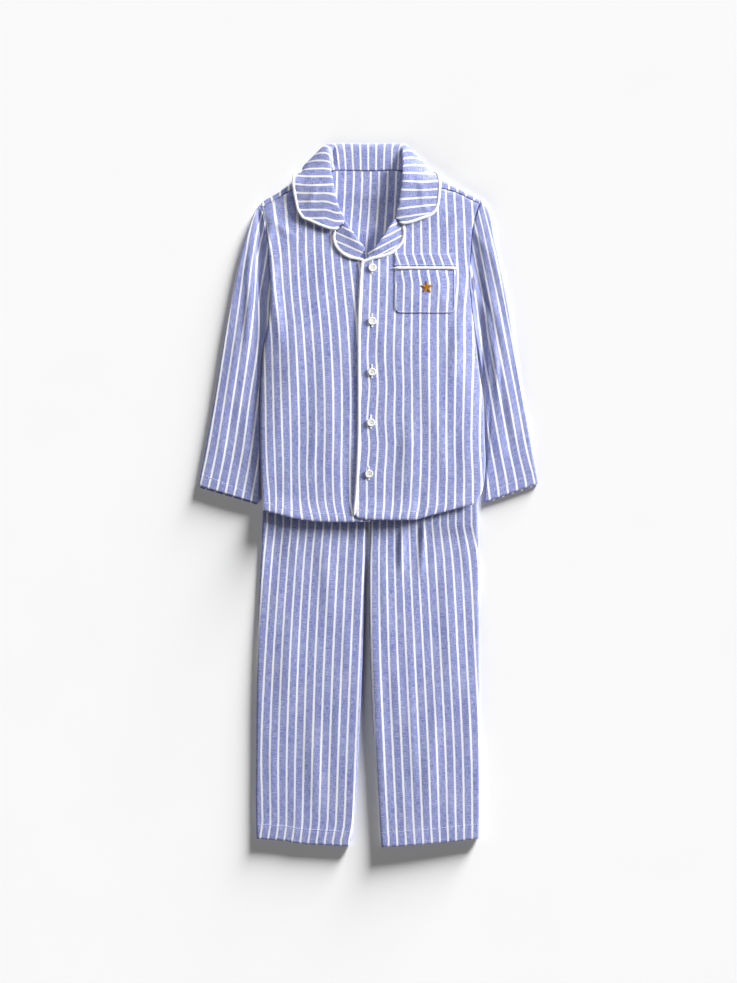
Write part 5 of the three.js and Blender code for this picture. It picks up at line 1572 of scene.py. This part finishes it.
# %% [markdown]
# Buttonholes and button threads
# A buttonhole is a slit with close stitches on both sides and a bar across each end. It lies under its
# button and shows above and below it. The button's own thread crosses between its holes.

# %% Buttonholes
HOLE_LENGTH = 17.0
HOLE_HALF_WIDTH = 1.35


def buttonhole_paths(x, y):
    paths = []
    rows = np.arange(-HOLE_LENGTH / 2, HOLE_LENGTH / 2, 0.62)
    for sign in (-1, 1):
        for row in rows:
            across = np.array([0.15, 0.5, HOLE_HALF_WIDTH]) * sign
            rise = np.array([0.1, 0.42, 0.0])
            place = on_front(x + across, np.full(3, y + row), 0.1)
            place[:, 2] += rise
            paths.append(place)
    for end in (-1, 1):
        for bar in range(4):
            across = np.linspace(-HOLE_HALF_WIDTH, HOLE_HALF_WIDTH, 5)
            place = on_front(x + across, np.full(5, y + end * (HOLE_LENGTH / 2 + bar * 0.45)), 0.2)
            place[:, 2] += 0.3 * np.cos(np.linspace(-1.4, 1.4, 5))
            paths.append(place)
    return paths


def button_thread_paths(x, y):
    seat, tilt = button_seat(x, y)
    paths = []
    for sx in (-1, 1):
        for strand in (-0.22, 0, 0.22):
            local = np.array([(sx * HOLE_AT + strand, t * HOLE_AT, z) for t, z in (
                (-1, 0.9), (-0.9, 1.5), (-0.3, 1.75), (0.3, 1.75), (0.9, 1.5), (1, 0.9))])
            turned_y = local[:, 1] * math.cos(tilt) - local[:, 2] * math.sin(tilt)
            turned_z = local[:, 1] * math.sin(tilt) + local[:, 2] * math.cos(tilt)
            paths.append(np.column_stack([local[:, 0] + seat.x, turned_y + seat.y, turned_z + seat.z]))
    return paths


hole_paths = [path for x, y in BUTTONS for path in buttonhole_paths(x - 0.4, y + 1.2)]
sewn("buttonhole_stitches", hole_paths, THREADS, WHITE_THREAD, "white_piping", Thread_radius=0.34 * MM)
thread_paths = [path for x, y in BUTTONS for path in button_thread_paths(x, y)]
sewn("button_threads", thread_paths, THREADS, WHITE_THREAD, "white_piping", Thread_radius=0.2 * MM)

# %% [markdown]
# The small star
# The pocket carries a small embroidered motif. This one is a plain five-pointed star in satin stitch: each
# arm is filled with threads laid across it, from the middle out to the point.

# %% The star
STAR_PLACE = (84.5, 300.0)
STAR_RADIUS = 9.6
STAR_INNER = 4.4
STAR_THREAD = 0.42


def star_paths():
    paths = []
    for arm in range(5):
        angle = math.pi / 2 + arm * 2 * math.pi / 5
        ahead = np.array([math.cos(angle), math.sin(angle)])
        aside = np.array([-ahead[1], ahead[0]])
        waist = STAR_INNER * math.cos(math.pi / 5)
        half = STAR_INNER * math.sin(math.pi / 5)
        for reach in np.arange(0.5, STAR_RADIUS - 0.3, STAR_THREAD * 1.25):
            share = reach / waist if reach < waist else (STAR_RADIUS - reach) / (STAR_RADIUS - waist)
            narrow = half * share
            offsets = np.linspace(-1, 1, 5) * max(narrow, 0.25)
            slant = 0.5 * offsets / half
            flat = np.array(STAR_PLACE) + ahead * (reach + slant)[:, None] + aside * offsets[:, None]
            path = on_front(flat[:, 0], flat[:, 1], POCKET_GAP + POCKET_CLOTH + 0.95)
            path[:, 2] += 0.75 * np.cos(np.linspace(-1.5, 1.5, 5))
            paths.append(path)
    return paths


sewn("star_embroidery", star_paths(), THREADS, GOLD_THREAD, "white_piping",
     Thread_radius=STAR_THREAD / 2 * MM * 1.25)

# %% [markdown]
# Floor and light
# The set lies on a plain pale floor. The cloth has a large, low key light from the right, so its folds
# show, a wide one from above the collar and a faint, very soft fill. In the photograph the floor is almost
# white and its shadow long and soft, so it has a lower key light of its own and a weak fill from the other
# side. Light linking keeps the cloth's lights and the floor's apart, and the world adds a little to both.

# %% Floor
FLOOR_HALF = 20.0
FLOOR_DEPTH = 0.0002  # just below the set
corners = [(x * FLOOR_HALF, y * FLOOR_HALF, -FLOOR_DEPTH) for x, y in ((-1, -1), (1, -1), (1, 1), (-1, 1))]
floor_mesh = bpy.data.meshes.new("floor")
floor_mesh.from_pydata(corners, [], [(0, 1, 2, 3)])
# Matt painted board with the faintest unevenness, in clouds about 170 mm across.
floor_mesh.materials.append(two_toned("pale_floor", "#F6F6F6", "#F9F9F9", 1000 / 6, 2.0, {"Roughness": 0.95}))
floor = new_object("floor", floor_mesh)

# %% A lamp
def from_side(turn, rise, away):
    """A place seen from the middle of the set: turn from the X axis, rise above the floor, in degrees."""
    flat = away * math.cos(math.radians(rise))
    return Vector((flat * math.cos(math.radians(turn)), flat * math.sin(math.radians(turn)),
                   away * math.sin(math.radians(rise))))


def lamp(name, kind, source, strength, receivers, **settings):
    """A light that points from source to the middle of the set, and only lights its receivers."""
    light = new_object(name, bpy.data.lights.new(name, kind))
    light.data.energy = strength
    for key, value in settings.items():
        setattr(light.data, key, value)
    light.location = source
    light.rotation_euler = source.to_track_quat("Z", "Y").to_euler()
    lit = bpy.data.collections.new(name + "_receivers")
    for receiver in receivers:
        lit.objects.link(receiver)
    light.light_linking.receiver_collection = lit

# %% Lights and the world
cloth_things = [obj for obj in bpy.context.scene.objects
                if obj.type == "MESH" and obj is not floor and not obj.hide_render]
lamp("key", "AREA", from_side(27, 18, 5.2), 552, cloth_things, shape="DISK", size=1.46)
lamp("top_fill", "AREA", from_side(88, 24, 3.2), 36, cloth_things, shape="DISK", size=1.6)
lamp("cloth_fill", "SUN", from_side(60, 80, 3.0), 0.4, cloth_things, angle=math.radians(140))
lamp("floor_key", "SUN", from_side(60, 9, 3.0), 16.3, [floor], angle=math.radians(20))
lamp("floor_fill", "SUN", from_side(235, 16, 3.0), 1.7, [floor], angle=math.radians(34))
world = bpy.data.worlds.new("studio")
world.use_nodes = True
background = world.node_tree.nodes["Background"]
background.inputs["Color"].default_value = srgb("#FCFCFF")
background.inputs["Strength"].default_value = 0.05
bpy.context.scene.world = world
bpy.context.scene.view_settings.view_transform = "Standard"
